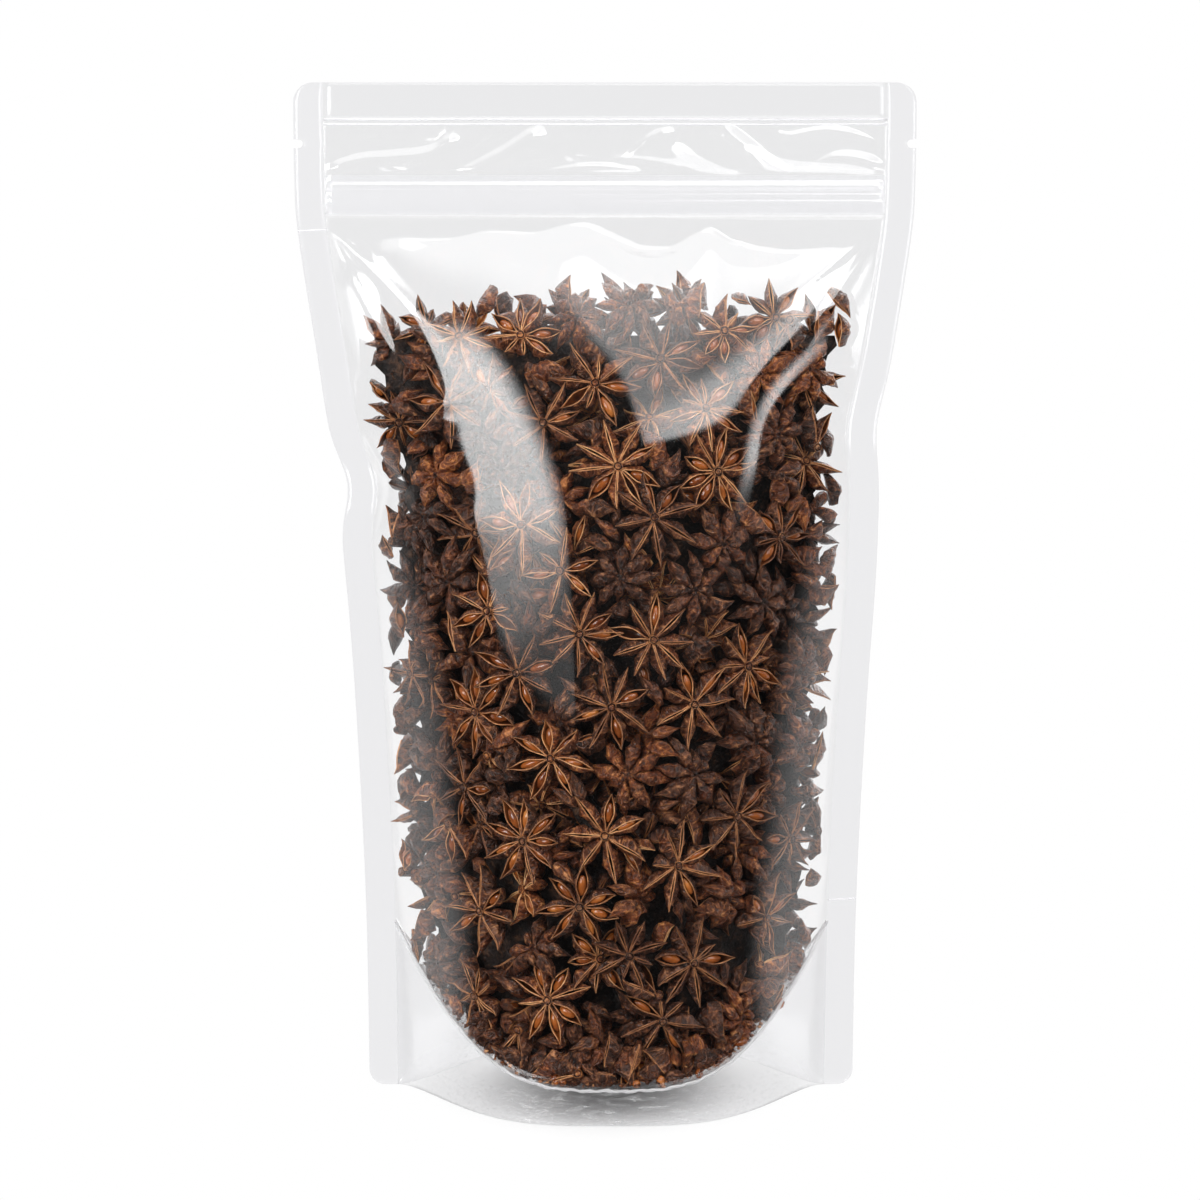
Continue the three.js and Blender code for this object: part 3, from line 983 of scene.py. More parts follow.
class Shader(Graph):
    """A material's node tree in the making."""

    def __init__(self, name, roughness=0.5):
        self.material = bpy.data.materials.new(name)
        self.material.use_nodes = True
        super().__init__(self.material.node_tree)
        self.surface = self.tree.nodes["Principled BSDF"]
        self.surface.inputs["Roughness"].default_value = roughness

    def attribute(self, name):
        return self.node("ShaderNodeAttribute", attribute_name=name).outputs["Fac"]

    def place(self, attribute=None):
        """Where a texture is looked up: on the object, or on the skin that an attribute describes."""
        if attribute:
            return self.node("ShaderNodeAttribute", attribute_name=attribute).outputs["Vector"]
        return self.node("ShaderNodeTexCoord").outputs["Object"]

    def noise(self, scale, detail=3, roughness=0.6, stretch=(1, 1, 1), on=None):
        mapping = self.node("ShaderNodeMapping")
        mapping.inputs["Scale"].default_value = stretch
        self.link(self.place(on), mapping.inputs["Vector"])
        made = self.node("ShaderNodeTexNoise")
        made.inputs["Scale"].default_value = scale
        made.inputs["Detail"].default_value = detail
        made.inputs["Roughness"].default_value = roughness
        self.link(mapping.outputs["Vector"], made.inputs["Vector"])
        return made.outputs["Fac"]

    def creases(self, scale, width, stretch, on):
        """Thin wandering ridges: high where a noise passes through its middle."""
        off = self.maths("ABSOLUTE", self.maths("SUBTRACT", self.noise(scale, 2, 0.5, stretch, on), 0.5))
        return self.maths("SUBTRACT", 1.0, self.maths("MINIMUM", self.maths("DIVIDE", off, width), 1.0))

    def ramp(self, value, stops):
        made = self.node("ShaderNodeValToRGB")
        elements = made.color_ramp.elements
        while len(elements) < len(stops):
            elements.new(0.5)
        for element, (position, colour) in zip(elements, stops):
            element.position = position
            element.color = (*linear(*colour), 1)
        self.link(value, made.inputs["Fac"])
        return made.outputs["Color"]

    def bump(self, height, strength, distance, target=None):
        made = self.node("ShaderNodeBump")
        made.inputs["Strength"].default_value = strength
        made.inputs["Distance"].default_value = distance
        self.link(height, made.inputs["Height"])
        self.link(made.outputs["Normal"], (target or self.surface).inputs["Normal"])
        return made.outputs["Normal"]


def anise_material(name, roughness, stops, scale, fold_shade_gain, tone_gain, bump_strength, bump_distance):
    """Dried pod: mottled at two scales and different from pod to pod. scale is in cycles a millimetre."""
    s = Shader(name, roughness)
    fine = s.noise(scale, 4, 0.62, on="skin")
    broad = s.noise(scale * 0.22, 2, 0.5, on="skin")
    ridge, tone = s.attribute("ridge"), s.attribute("tone")
    # The ridge term paints shade into the hollows of the folds and a highlight onto their crests.
    value = s.summed(-0.35, (broad, 0.7), (fine, 0.9), (ridge, fold_shade_gain), (tone, tone_gain))
    s.link(s.ramp(value, stops), s.surface.inputs["Base Color"])
    s.bump(fine, bump_strength, bump_distance)
    return s


def husk_material():
    """Shrivelled skin, grey brown or reddish. Its hollows get painted shade and its ridges a tan painted
    highlight.
    """
    s = Shader("star_anise_husk", 0.28)
    long_folds = s.creases(0.36, 0.06, (0.45, 1, 1), "skin")
    short_folds = s.creases(0.55, 0.05, (1, 0.8, 1), "skin")
    fine = s.noise(0.95, 4, 0.6, on="skin")
    broad = s.noise(0.16, 2, 0.5, on="skin")
    folds = s.maths("MAXIMUM", long_folds, short_folds)
    ridge, tone = s.attribute("ridge"), s.attribute("tone")
    # Painted shade and highlight over the husk's own mottling: darker in the troughs, lighter on the crests
    # of the folds and the bump.
    value = s.summed(-0.18, (folds, 0.26), (fine, 1.1), (ridge, 0.12), (tone, 0.05))
    levels = (0.18, 0.42, 0.62, 0.86)
    greyish = ((30, 18, 14), (79, 49, 36), (126, 81, 57), (208, 148, 100))
    reddish = ((34, 17, 12), (95, 49, 30), (146, 81, 47), (216, 142, 82))
    mix = s.node("ShaderNodeMix", data_type="RGBA", clamp_factor=True)
    s.link(s.summed(-1.2, (broad, 3.0), (tone, 0.35)), mix.inputs["Factor"])
    s.link(s.ramp(value, tuple(zip(levels, greyish))), mix.inputs["A"])
    s.link(s.ramp(value, tuple(zip(levels, reddish))), mix.inputs["B"])
    s.link(mix.outputs["Result"], s.surface.inputs["Base Color"])
    height = s.maths("MULTIPLY_ADD", folds, 0.7, s.maths("MULTIPLY", fine, 1.8))
    s.bump(height, 1.0, 0.0008)
    return s.material


def lip_material():
    stops = ((0.25, (108, 62, 36)), (0.5, (188, 126, 78)), (0.75, (240, 186, 128)))
    return anise_material("star_anise_lip", 0.42, stops, 0.7, 0.05, 0.08, 0.3, 0.0004).material


def inside_material():
    stops = ((0.2, (44, 21, 10)), (0.5, (98, 50, 20)), (0.8, (160, 92, 38)))
    return anise_material("star_anise_inside", 0.28, stops, 0.5, 0, 0.08, 0.2, 0.0004).material


def seed_material():
    stops = ((0.2, (102, 48, 20)), (0.55, (160, 87, 36)), (0.9, (208, 134, 64)))
    s = anise_material("star_anise_seed", 0.14, stops, 0.3, 0, 0.15, 0.05, 0.0002)
    s.surface.inputs["Coat Weight"].default_value = 0.6
    s.surface.inputs["Coat Roughness"].default_value = 0.07
    return s.material


def painted_shade_material():
    """Painted shade: near-black gaps and dim husks, for what is seen between the pods and inside the shut
    carpels.
    """
    s = Shader("star_anise_shade", 0.6)
    husks = s.noise(240, 4, 0.7)
    stops = ((0.4, (16, 10, 8)), (0.55, (44, 28, 20)), (0.68, (104, 70, 46)))
    s.link(s.ramp(husks, stops), s.surface.inputs["Base Color"])
    s.bump(husks, 1.0, 0.003)
    return s.material


def film_material(name, passed, haze, roughness, crinkle=0.0):
    """Clear film: it passes light straight on, mirrors more of it the more it is seen from the side, and
    scatters a share called haze, more of it where it is crinkled. passed is what one face lets through."""
    s = Shader(name)
    s.tree.nodes.remove(s.surface)
    clear = s.node("ShaderNodeBsdfTransparent")
    clear.inputs["Color"].default_value = (*passed, 1)
    gloss = s.node("ShaderNodeBsdfGlossy")
    gloss.inputs["Roughness"].default_value = roughness
    facing_away = s.node("ShaderNodeLayerWeight")
    facing_away.inputs["Blend"].default_value = 0.5
    mirrored = s.maths("MULTIPLY_ADD", s.maths("POWER", facing_away.outputs["Facing"], 5.0), 0.96, 0.04)
    body = clear.outputs[0]
    share = haze
    if crinkle:
        fine = s.noise(600, 3, 0.6, stretch=(0.35, 1, 1.5))
        marks = s.attribute("crinkle")
        share = s.maths("MULTIPLY_ADD", s.rise(fine, 0.48, 0.72, 0, crinkle), marks, haze)
        s.bump(s.maths("MULTIPLY", fine, marks), 1.0, 0.001, gloss)
    if haze:
        scatter = s.node("ShaderNodeBsdfDiffuse")
        through = s.node("ShaderNodeBsdfTranslucent")
        for milk in (scatter, through):
            milk.inputs["Color"].default_value = (0.9, 0.9, 0.91, 1)
        body = s.mixed(share, body, s.mixed(0.5, scatter.outputs[0], through.outputs[0]))
    s.link(s.mixed(mirrored, body, gloss.outputs[0]), s.tree.nodes["Material Output"].inputs["Surface"])
    return s.material


# ---- The film and its seals ---------------------------------------------------------------------

def spaced_across(count):
    """Places from -1 to 1, closer together towards the side seals."""
    even = np.linspace(-1, 1, count)
    return 0.6 * np.sin(even * np.pi / 2) + 0.4 * even


def seal_wave(side, z):
    """How far a side seal waves out of the middle plane where it has buckled."""
    total = 0
    for buckled, height, deep, reach in BUCKLES:
        off = (z - height) / reach
        total += (side == buckled) * 0.55 * deep * np.sin(off * 1.7) * np.exp(-((off / 1.5) ** 2))
    return total


def ridge(x, z, start, end, width, height):
    """A soft crease from start to end, each (across, height)."""
    start, end = np.array(start, float), np.array(end, float)
    way = end - start
    length = np.hypot(*way)
    way /= length
    share = ((x - start[0]) * way[0] + (z - start[1]) * way[1]) / length
    aside = (x - start[0]) * way[1] - (z - start[1]) * way[0]
    fade = smoothstep(share, -0.05, 0.15) * (1 - smoothstep(share, 0.5, 1.05))
    return height * fade * np.exp(-((aside / width) ** 2))


def fold(x, z, course, half_width, rise, fade_below=1.3):
    """A soft step in the film along a course from left to right: raised below the course and sunk above it.
    fade_below is how far it fades out below the course, in half widths."""
    bends = np.arange(len(course))
    fine = np.linspace(0, len(course) - 1, 6 * len(course))
    line = np.stack([along(list(zip(bends, column)), fine) for column in zip(*course)], -1)
    way = np.diff(line, axis=0)
    length = np.hypot(*way.T)
    way /= length[:, None]
    off_x, off_z = x[..., None] - line[:-1, 0], z[..., None] - line[:-1, 1]
    forward = np.clip(off_x * way[:, 0] + off_z * way[:, 1], 0, length)
    away = np.hypot(off_x - forward * way[:, 0], off_z - forward * way[:, 1])
    nearest = away.argmin(-1)[..., None]
    above = np.take_along_axis(off_z * way[:, 0] - off_x * way[:, 1], nearest, -1)[..., 0]
    aside = np.take_along_axis(away, nearest, -1)[..., 0] * np.sign(above)
    share = (nearest + np.take_along_axis(forward, nearest, -1) / length[nearest])[..., 0] / len(length)
    step = np.clip(aside / half_width, -1, 1)
    fade = half_width * np.where(aside < 0, fade_below, 1.3)
    tail = np.exp(-((np.maximum(np.abs(aside) - half_width, 0) / fade) ** 2))
    ends = smoothstep(share, 0, 0.12) * (1 - smoothstep(share, 0.85, 1))
    return rise * (step**3 - 3 * step) / 4 * tail * ends


# Folds of the loose film over the zip: course as (across, height), half the width, rise.
HEADER_FOLDS = (
    (((-89, 296), (-80, 299.5), (-76, 300.5)), 1.6, 1.6),
    (((-90, 289), (-76, 293.5), (-64, 294.5), (-53, 296), (-47, 302)), 2.6, 3.0),
    (((-47, 288), (-36, 293), (-29, 297), (-20, 304)), 2.5, 2.6),
    (((-24, 287.5), (-8, 290.2), (4, 290), (14, 287.5)), 1.2, 1.4),
    (((4, 291), (10, 296), (13, 299), (20, 303)), 1.6, 1.5),
    (((21, 297), (28, 293)), 1.3, 0.8),
    (((36, 304), (45, 296.5), (50, 292.5), (60, 287)), 2.1, 1.6),
    (((52, 299), (70, 302), (89, 296)), 1.6, 1.2),
    (((60, 289), (70, 294), (80, 293.5), (90, 289)), 2.0, 1.8),
)
# A fold of the body's film under the zip's left end: the same, and how far it fades out below.
BODY_FOLD = (((-75, 264), (-68, 253), (-61, 240), (-55.5, 226), (-52.5, 212)), 5.6, -1.7, 4.0)
# Creases where the film is pulled from the ends of the zip and at the buckled sides:
# start, end, width, height.
CREASES = (
    ((-86, 273), (-50, 238), 1.5, 0.7),
    ((-86, 272), (-62, 228), 1.3, 0.5),
    ((86, 273), (48, 244), 1.1, 0.45),
    ((86, 272), (60, 234), 1.2, 0.55),
    ((86, 271), (67, 230), 0.9, 0.45),
    ((71, 217), (87, 192), 0.9, 0.5),
    ((71, 217), (80, 215), 0.6, 0.3),
    ((-75, 208), (-66, 190), 0.8, 0.45),
    ((-66, 193), (-73, 176), 0.8, 0.4),
    ((-66, 200), (-47, 172), 1.1, 0.4),
)
# Under the zip the film clings to itself down to this line before it opens: across, height.
CLING_LINE = (
    (-86, 273.5), (-47, 268.5), (-37, 270.3), (-21, 269.7), (-8, 272.6), (2, 268.5), (10, 265), (20, 265),
    (31, 270.6), (39, 266.5), (55, 265.3), (86, 273.5),
)
CLING = 0.5
SEAL_LINES = ((-1, 270.5), (1, 60.0))  # marks across the side seals: side, height


def clinging(x, z):
    """How much less deep the film is where it clings to itself under the zip."""
    line = along(CLING_LINE, np.clip(x, -86, 86))
    clung = CLING * (ZIP_LOW - np.maximum(z, line)) * np.exp(-np.maximum(line - z, 0) / 7)
    return np.where(z < ZIP_LOW, clung, 0)


def relief(x, z, side):
    """How far the film stands out from the plain form."""
    x, z = np.broadcast_arrays(x if side < 0 else -x, z)
    total = -clinging(x, z)
    for crease in CREASES:
        total += ridge(x, z, *crease)
    if side < 0:
        total += fold(x, z, *BODY_FOLD)
    if z.max() > ZIP_HIGH:
        folds = sum(fold(x, z, *bend) for bend in HEADER_FOLDS)
        total += folds * smoothstep(z, ZIP_HIGH - 0.5, ZIP_HIGH + 2)
    return total


def zip_cover(z):
    """How far the film stands off over the zip strip and its ribs."""
    web = smoothstep(z, ZIP_LOW - 0.8, ZIP_LOW) * (1 - smoothstep(z, ZIP_HIGH, ZIP_HIGH + 0.8))
    ribs = sum(width / 2 * np.exp(-(((z - height) / width / 0.62) ** 2)) for height, width in ZIP_RIBS)
    return (ZIP_WEB / 2 + 0.08 + FILM) * web + ribs


def film_grid(u, t, low, high, side, thickness_in):
    """A grid on the film's outer face, moved in by a thickness: u runs across, and t up from the low to
    the high curve."""
    z = low + (high - low) * t
    x = across_at(u, z)
    wave = seal_wave(np.where(u < 0, -1, 1), z) * np.abs(u) ** 4
    # the relief fades out before the side seals and the top seal, and the zip's cover at its ends
    seal_low = HEIGHT - TOP_SEAL
    free = np.minimum(1, 20 * (1 - np.abs(u))) * (1 - smoothstep(z, seal_low - 2.5, seal_low))
    depth = np.maximum(film_depth(x, z) + relief(x, z, side) * free, FILM_FACE)
    depth = np.maximum(depth, zip_cover(z) * np.minimum(1, 40 * (1 - np.abs(u)))) - thickness_in
    return on_pouch(x, side * depth + wave, z)


def crinkled(points):
    """How crinkled the film is: most in the middle of the skirt's foot."""
    x, z = points[:, 0], points[:, 2]
    return np.exp(-((x / 38) ** 2)) * (1 - smoothstep(z, 8, 14))


def film_panel(name, side, low, high, columns, levels, thickness, material, crinkle=None):
    """One panel of film between two curves of height over its width."""
    u = spaced_across(columns)[None]
    t = np.asarray(levels)[:, None]
    outside = film_grid(u, t, low(u), high(u), side, 0)
    inside = film_grid(u, t, low(u), high(u), side, thickness)
    if side > 0:
        outside, inside = outside[:, ::-1], inside[:, ::-1]
    return sheet_piece(name, outside, inside, material, crinkle)


def corner_inset(radius, from_edge):
    """How far a round corner cuts in, at a distance from the edge across."""
    into = np.clip(1 - from_edge / radius, 0, 1)
    return radius * (1 - np.sqrt(1 - into**2))


def notch_inset(z):
    """How far the tear notch cuts in."""
    radius = NOTCH_WIDTH / 2
    off = np.abs(z - NOTCH_HEIGHT)
    return np.where(off < radius, NOTCH_DEPTH - radius + np.sqrt(np.maximum(radius**2 - off**2, 0)), 0)


def side_seal(side, material):
    """The heat seal down one side, with its round corners and tear notch."""
    radius = NOTCH_WIDTH / 2
    notch = NOTCH_HEIGHT + radius * np.sin(np.linspace(-np.pi / 2, np.pi / 2, 13))
    z = np.concatenate([
        BOTTOM_CORNER * (1 - np.cos(np.linspace(0, np.pi / 2, 8))),
        np.linspace(BOTTOM_CORNER, notch[0] - 0.02, 150)[1:],
        notch,
        np.linspace(notch[-1] + 0.02, HEIGHT - TOP_CORNER, 8),
        HEIGHT - TOP_CORNER + TOP_CORNER * np.sin(np.linspace(0, np.pi / 2, 9))[1:],
    ])[:, None]
    inset = corner_inset(TOP_CORNER, HEIGHT - z) + corner_inset(BOTTOM_CORNER, z) + notch_inset(z)
    inner = inner_half_width(side, z)
    outer = along(OUTLINE, z) - buckle(side, z) - inset
    x = side * (inner + (outer - inner) * np.linspace(0, 1, 7))
    if side < 0:
        x = x[:, ::-1]
    outside, inside = (on_pouch(x, seal_wave(side, z) + y, z) for y in (-SEALED / 2, SEALED / 2))
    return sheet_piece("seal_left" if side < 0 else "seal_right", outside, inside, material)


def top_seal(material):
    """The heat seal along the top, between the side seals."""
    half = FLAT_WIDTH / 2 - SIDE_SEAL - 0.05
    x, z = np.meshgrid(np.linspace(-half, half, 60), np.linspace(HEIGHT - TOP_SEAL, HEIGHT, 8))
    outside, inside = (on_pouch(x, y, z) for y in (-SEALED / 2, SEALED / 2))
    return sheet_piece("seal_top", outside, inside, material)


def pouch_floor(material):
    """The film floor, which hangs from the curved seals."""
    u = spaced_across(81)[None]
    v = np.linspace(-1, 1, 41)[:, None]
    edge = seal_height(np.abs(u))
    x = across_at(u, edge) * 0.998
    z = floor_height(np.abs(u), np.abs(v))
    y = v * (film_depth(x, edge) - FILM)
    return sheet_piece("film_floor", on_pouch(x, y, z + FILM), on_pouch(x, y, z), material)


def seal_beads(material):
    """The thick bright lines where the film leaves its seals: round the bottom curve and under the top,
    and the two short marks across the side seals."""
    parts = Parts()
    u = np.linspace(-1, 1, 181)
    for face in (-1, 1):
        z = seal_height(np.abs(u)) + 0.25 * np.sin(u * 61) * np.sin(u * 23 + face)
        x = across_at(u, z)
        y = face * (film_depth(x, z) - 0.1)
        radius = 0.5 + 0.16 * np.sin(u * 47 + face) * np.sin(u * 113)
        parts.add(*tube(on_pouch(x, y, z), radius))
    half = FLAT_WIDTH / 2 - SIDE_SEAL
    x = np.linspace(-half, half, 90)
    for lowered, radius in ((0.2, 0.32), (1.6, 0.2)):
        for face in (-1, 1):
            z = HEIGHT - TOP_SEAL - lowered + 0.08 * np.sin(x / 9 + face)
            y = face * (film_depth(x, z) - 0.1)
            parts.add(*tube(on_pouch(x, y, z), radius))
    for side, height in SEAL_LINES:
        outer = float(along(OUTLINE, height))
        x = side * np.linspace(outer - SIDE_SEAL, outer - 0.3, 12)
        for face in (-1, 1):
            parts.add(*tube(on_pouch(x, face * SEALED / 2, height + 0.06 * (x - x[0])), 0.16))
    return parts.build("seal_beads", [material])


# ---- Putting it together ------------------------------------------------------------------------

def in_pouch(piece):
    """Declares a piece of what scene.py shows in place of the CAD pouch."""
    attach(piece, "root")
    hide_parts("pouch")


def curved_edge(u):
    return seal_height(np.abs(u))


def level_edge(height):
    return lambda u: np.full_like(u, height)


def dress_film():
    film = film_material("film_clear", (0.988, 0.988, 0.99), 0.0, 0.05)
    sealed = film_material("film_sealed", (0.944, 0.943, 0.95), 0.02, 0.16)
    top = film_material("film_top_seal", (0.93, 0.93, 0.935), 0.02, 0.16)
    skirt = film_material("film_skirt", (0.97, 0.97, 0.974), 0.03, 0.14, crinkle=0.3)
    bead = film_material("film_bead", (0.97, 0.97, 0.975), 0.6, 0.08)
    foot, neck, top_low = level_edge(0.02), level_edge(ZIP_LOW), level_edge(HEIGHT - TOP_SEAL)
    skirt_levels = np.linspace(0, 1, 20)
    pieces = []
    for name, side, columns, levels in (("front", -1, 131, 1.0), ("back", 1, 71, 0.6)):
        # the body's levels are closer together in its upper part, where the creases are
        low_body = np.linspace(0, 0.66, round(42 * levels))
        high_body = np.linspace(0.66, 1, round(64 * levels))
        body = np.concatenate([low_body, high_body[1:]])
        header, wide = np.linspace(0, 1, round(60 * levels)), round(columns * 1.2)
        pieces += (
            film_panel("film_" + name, side, curved_edge, neck, columns, body, FILM, film),
            film_panel("header_" + name, side, neck, top_low, wide, header, FILM, film),
            film_panel("skirt_" + name, side, foot, curved_edge, 81, skirt_levels, SEALED, skirt, crinkled),
        )
    pieces += (side_seal(-1, sealed), side_seal(1, sealed), top_seal(top))
    pieces += (pouch_floor(film), seal_beads(bead))
    for piece in pieces:
        in_pouch(piece)


def dress_zip():
    """The zip keeps its CAD solid, in a milky finish."""
    milky = film_material("zip_milky", (0.985, 0.985, 0.99), 0.11, 0.12)
    zip_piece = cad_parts["zip_strip"]
    zip_piece.data.materials.clear()
    zip_piece.data.materials.append(milky)


def dress_contents():
    """Pods in shells: finest behind the front film, plainer at the back and where they are mostly hidden."""
    materials = [husk_material(), lip_material(), inside_material(), seed_material(), painted_shade_material()]
    walls = Walls()
    pods = star_anise_heap(walls)

    def ahead(pod):
        return pod["centre"][1] < 0

    outermost, next_in = 8.5, 14.0  # depths behind the film
    groups = (
        ("front", FINE, [p for p in pods if ahead(p) and p["deep"] < outermost]),
        ("behind", MEDIUM, [p for p in pods if ahead(p) and outermost <= p["deep"] < next_in]),
        ("back", MEDIUM, [p for p in pods if not ahead(p) and p["deep"] < outermost]),
        ("inner", COARSE, [p for p in pods if p["deep"] >= (next_in if ahead(p) else outermost)]),
    )
    for name, detail, group in groups:
        group.sort(key=lambda p: p["centre"][2])
        for number in range(0, len(group), PODS_PER_PIECE):
            parts = Parts()
            add_pods(parts, group[number:number + PODS_PER_PIECE], detail, walls)
            in_pouch(parts.build(f"star_anise_{name}_{number // PODS_PER_PIECE + 1}", materials))
    in_pouch(crumbs(materials, walls))
    in_pouch(heap_core(painted_shade_material()))


def crumbs(materials, walls):
    """Bits of husk and loose seeds that have gathered along the bottom seal, in front."""
    count, rings, sides = 130, 3, 6
    loose_seeds = slice(0, 9)
    path = border_path(1.6)
    path = path[path[:, 1] < BOTTOM_SEAL_HIGH - 12]
    spot = path[rng.integers(0, len(path), count)] + rng.normal(0, 0.5, (count, 2))
    size = rng.uniform(0.25, 0.8, count) ** 1.2
    size[loose_seeds] = 1.6
    depth = walls.read(walls.depth, *spot.T) - size
    centre = np.stack([spot[:, 0], -np.maximum(depth, 0), spot[:, 1]], -1)
    radii = size[:, None] * rng.uniform(0.6, 1.4, (count, 3))
    points = ellipsoids(centre, radii, rings, sides)
    tone = np.repeat(rng.normal(0, 1, count), points.shape[1])
    points = walls.press(points.reshape(-1, 3))
    quads, tris = ring_faces(count, rings, sides)
    kind = rng.choice((HUSK, HUSK, LIPS, INSIDE), count)
    kind[loose_seeds] = SEED
    quad_slot, tri_slot = (np.repeat(kind, len(faces) // count) for faces in (quads, tris))
    parts = Parts()
    parts.add(points, quads, tris, quad_slot, tri_slot, tone=tone, ridge=0.0, skin=points)
    return parts.build("crumbs", materials)


def heap_core(material):
    """The middle of the heap as a lumpy sheet in painted shade, thin towards the side seals."""
    u = spaced_across(61)[None]
    low, high = floor_height(np.abs(u), 0) + 1.7, FILL_HEIGHT - CORE_UNDER_TOP
    rise = np.linspace(0, 1, 61)[:, None]
    z = low + (high - low) * rise
    side = np.where(u < 0, -1, 1)
    ragged = 2 * np.sin(z / 4.3 + side) * np.sin(z / 1.9)
    x = u * (inner_half_width(side, z) - CORE_FROM_SEAL + ragged)
    fade = np.minimum(0.75 + 4 * rise, 1) * np.sqrt(1 - rise**6)
    lumps = 1.6 * np.sin(x / 3.1 + np.sin(z / 4.7)) * np.sin(z / 3.7 + np.sin(x / 5.1))
    depth = np.maximum(film_depth(x, z) - CORE_UNDER_FILM + lumps, 0.8) * fade * (1 - np.abs(u) ** 6) + 0.2
    return sheet_piece("star_anise_core", on_pouch(x, -depth, z), on_pouch(x, depth, z), material)


# ---- Stage, light and camera --------------------------------------------------------------------

# Lengths are metres here.
SOFTBOX_DISTANCE = 1.3
SOFTBOX_AIM = Vector((0, 0, 0.17))
FLOOR_HALF_WIDTH = 60.0
CAMERA_PLACE = (-0.0015, -1.0, 0.3007)
CAMERA_TILT = 8.25  # degrees below level
PHOTO_HALF_WIDTH, PHOTO_FOCAL_LENGTH = 600, 3243  # pixels


def pale_floor():
    """A pale floor: matt near the pouch, where its shadow falls, and evenly white further off.
    The film mirrors it only at the sides, because the studio in front of the table is dark."""
    s = Shader("stage_floor", 0.8)
    s.surface.inputs["Specular IOR Level"].default_value = 0
    pale = s.ramp(s.noise(3), ((0.3, (216, 216, 216)), (0.7, (219, 219, 219))))
    s.link(pale, s.surface.inputs["Base Color"])
    mapping = s.node("ShaderNodeMapping")
    mapping.inputs["Scale"].default_value = (16, 13, 1)
    s.link(s.place(), mapping.inputs["Vector"])
    distance = s.node("ShaderNodeVectorMath", operation="LENGTH")
    s.link(mapping.outputs["Vector"], distance.inputs[0])
    white = s.node("ShaderNodeEmission")
    lit = s.mixed(s.rise(distance.outputs["Value"], 0.2, 1.05), s.surface.outputs[0], white.outputs[0])
    split = s.node("ShaderNodeSeparateXYZ")
    s.link(s.place(), split.inputs[0])
    mirrored = s.node("ShaderNodeEmission")
    s.link(s.beside(split, 0.02, 1.5), mirrored.inputs["Strength"])
    glossy = s.node("ShaderNodeLightPath").outputs["Is Glossy Ray"]
    s.link(s.mixed(glossy, lit, mirrored.outputs[0]), s.tree.nodes["Material Output"].inputs["Surface"])
    half = FLOOR_HALF_WIDTH
    corners = [(-half, -half, 0), (half, -half, 0), (half, half, 0), (-half, half, 0)]
    mesh = bpy.data.meshes.new("stage_floor")
    mesh.from_pydata(corners, [], [(0, 1, 2, 3)])
    mesh.materials.append(s.material)
    floor = bpy.data.objects.new("stage_floor", mesh)
    bpy.context.scene.collection.objects.link(floor)


def studio_world():
    """White to the camera. To everything else: bright above and at the sides, dark in front and behind."""
    world = bpy.data.worlds.new("studio")
    bpy.context.scene.world = world
    world.use_nodes = True
    g = Graph(world.node_tree)
    background = g.tree.nodes["Background"]
    background.inputs["Color"].default_value = (1, 1, 1, 1)
    split = g.node("ShaderNodeSeparateXYZ")
    g.link(g.node("ShaderNodeTexCoord").outputs["Generated"], split.inputs[0])
    above = g.rise(split.outputs["Z"], 0.62, 0.86, 0.06, 2.2)
    glow = g.maths("MAXIMUM", above, g.beside(split, 0.06, 1.3))
    seen = g.node("ShaderNodeLightPath").outputs["Is Camera Ray"]
    hidden = g.maths("MULTIPLY", g.maths("SUBTRACT", 1.0, seen), glow)
    g.link(g.maths("ADD", seen, hidden), background.inputs["Strength"])


def softbox(name, azimuth, elevation, width, height, radiance, roll=0.0, pattern=None):
    """A panel of light aimed at the pouch. azimuth 0 is in front and 90 to the right. pattern makes its
    brightness from a graph and the places across and up the panel, both from 0 to 1."""
    lamp = bpy.data.lights.new(name, "AREA")
    lamp.shape = "RECTANGLE"
    lamp.size, lamp.size_y = width, height
    lamp.energy = radiance * math.pi * width * height
    light = bpy.data.objects.new(name, lamp)
    bpy.context.scene.collection.objects.link(light)
    a, e = math.radians(azimuth), math.radians(elevation)
    away = Vector((math.sin(a) * math.cos(e), -math.cos(a) * math.cos(e), math.sin(e)))
    light.location = SOFTBOX_AIM + SOFTBOX_DISTANCE * away
    rolled = Euler((0, 0, math.radians(roll))).to_quaternion()
    light.rotation_euler = (away.to_track_quat("Z", "Y") @ rolled).to_euler()
    light.visible_camera = False
    lamp.use_nodes = True
    g = Graph(lamp.node_tree)
    split = g.node("ShaderNodeSeparateXYZ")
    g.link(g.node("ShaderNodeNewGeometry").outputs["Parametric"], split.inputs[0])
    shine = (pattern or soft_edges)(g, split.outputs["X"], split.outputs["Y"])
    g.link(shine, g.tree.nodes["Emission"].inputs["Strength"])


def soft_edges(g, x, y):
    return g.product(g.rise(x, 0, 0.16), g.rise(x, 1, 0.84), g.rise(y, 0, 0.16), g.rise(y, 1, 0.84))


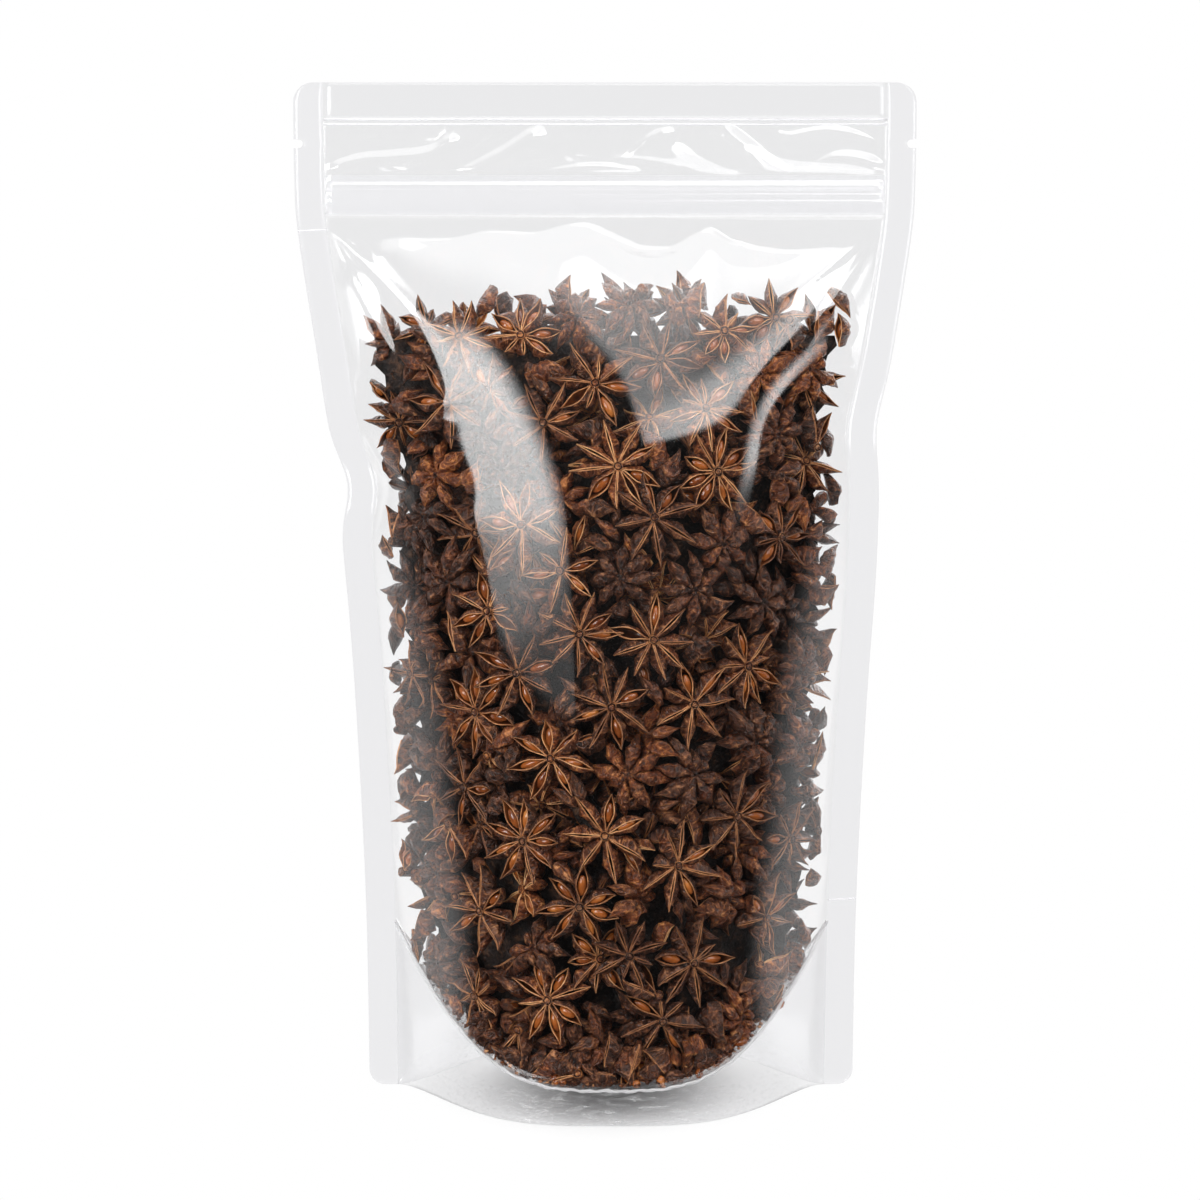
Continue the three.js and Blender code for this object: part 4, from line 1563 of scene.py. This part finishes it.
def spread_foot(g, x, y):
    """Narrow at the top and wide at the foot, crisp on the left and soft on the right."""
    left, right = g.summed(x, (y, -0.62)), g.summed(x, (y, 0.62))
    foot = g.summed(y, (x, -0.22))
    return g.product(
        g.summed(0.76, (y, 0.5)),
        g.rise(foot, -0.03, 0.14, 0.1, 1),
        g.rise(left, -0.11, -0.06),
        g.rise(right, 1.25, 0.97),
        g.rise(y, 0, 0.05),
        g.rise(y, 0.98, 0.85),
    )


def bright_rim(g, x, y):
    """A slanted panel, plain at the left and dimmer in the middle, with a bright rim along its foot."""
    left, foot = g.summed(x, (y, 0.5)), g.summed(y, (x, -0.12))
    rim = g.product(g.rise(foot, 0.37, 0.25), g.rise(x, 0.2, 0.6))
    return g.product(
        g.summed(g.rise(x, 0.58, 0.36, 0.24, 0.46), (rim, 0.76)),
        g.rise(left, 0.39, 0.44),
        g.rise(foot, 0.157, 0.183),
        g.rise(x, 0.9, 0.865),
        g.rise(y, 0.95, 0.5, 0.5, 1),
    )


def soft_streak(g, x, y):
    """Soft all round, and softest on the left and at the foot."""
    return g.product(g.rise(x, 0, 0.6), g.rise(x, 1, 0.8), g.rise(y, 0.18, 0.55), g.rise(y, 1, 0.5))


def studio_lights():
    softbox("key_left", -37, 17, 1.0, 1.0, 9.0, pattern=spread_foot)
    softbox("key_right", 29, 37, 1.4, 1.4, 6.4, roll=-14, pattern=bright_rim)
    softbox("edge_right", 57, 8, 0.17, 0.42, 7.5, pattern=soft_streak)
    softbox("back_left", 145, 20, 0.95, 0.85, 4.5)
    softbox("back_right", -154, 39, 1.15, 0.9, 3.5, roll=-14)


def camera():
    """Almost as high as the pouch's top, a metre in front, looking slightly down."""
    data = bpy.data.cameras.new("camera")
    data.sensor_width = 36
    data.angle = 2 * math.atan(PHOTO_HALF_WIDTH / PHOTO_FOCAL_LENGTH)
    data.clip_start = 0.01
    view = bpy.data.objects.new("camera", data)
    bpy.context.scene.collection.objects.link(view)
    view.location = CAMERA_PLACE
    view.rotation_euler = Euler((math.radians(90 - CAMERA_TILT), 0, 0))
    bpy.context.scene.camera = view


dress_film()
dress_zip()
dress_contents()
pale_floor()
studio_world()
studio_lights()
camera()
bpy.context.scene.view_settings.view_transform = "Standard"
bpy.context.scene.cycles.transparent_max_bounces = 32
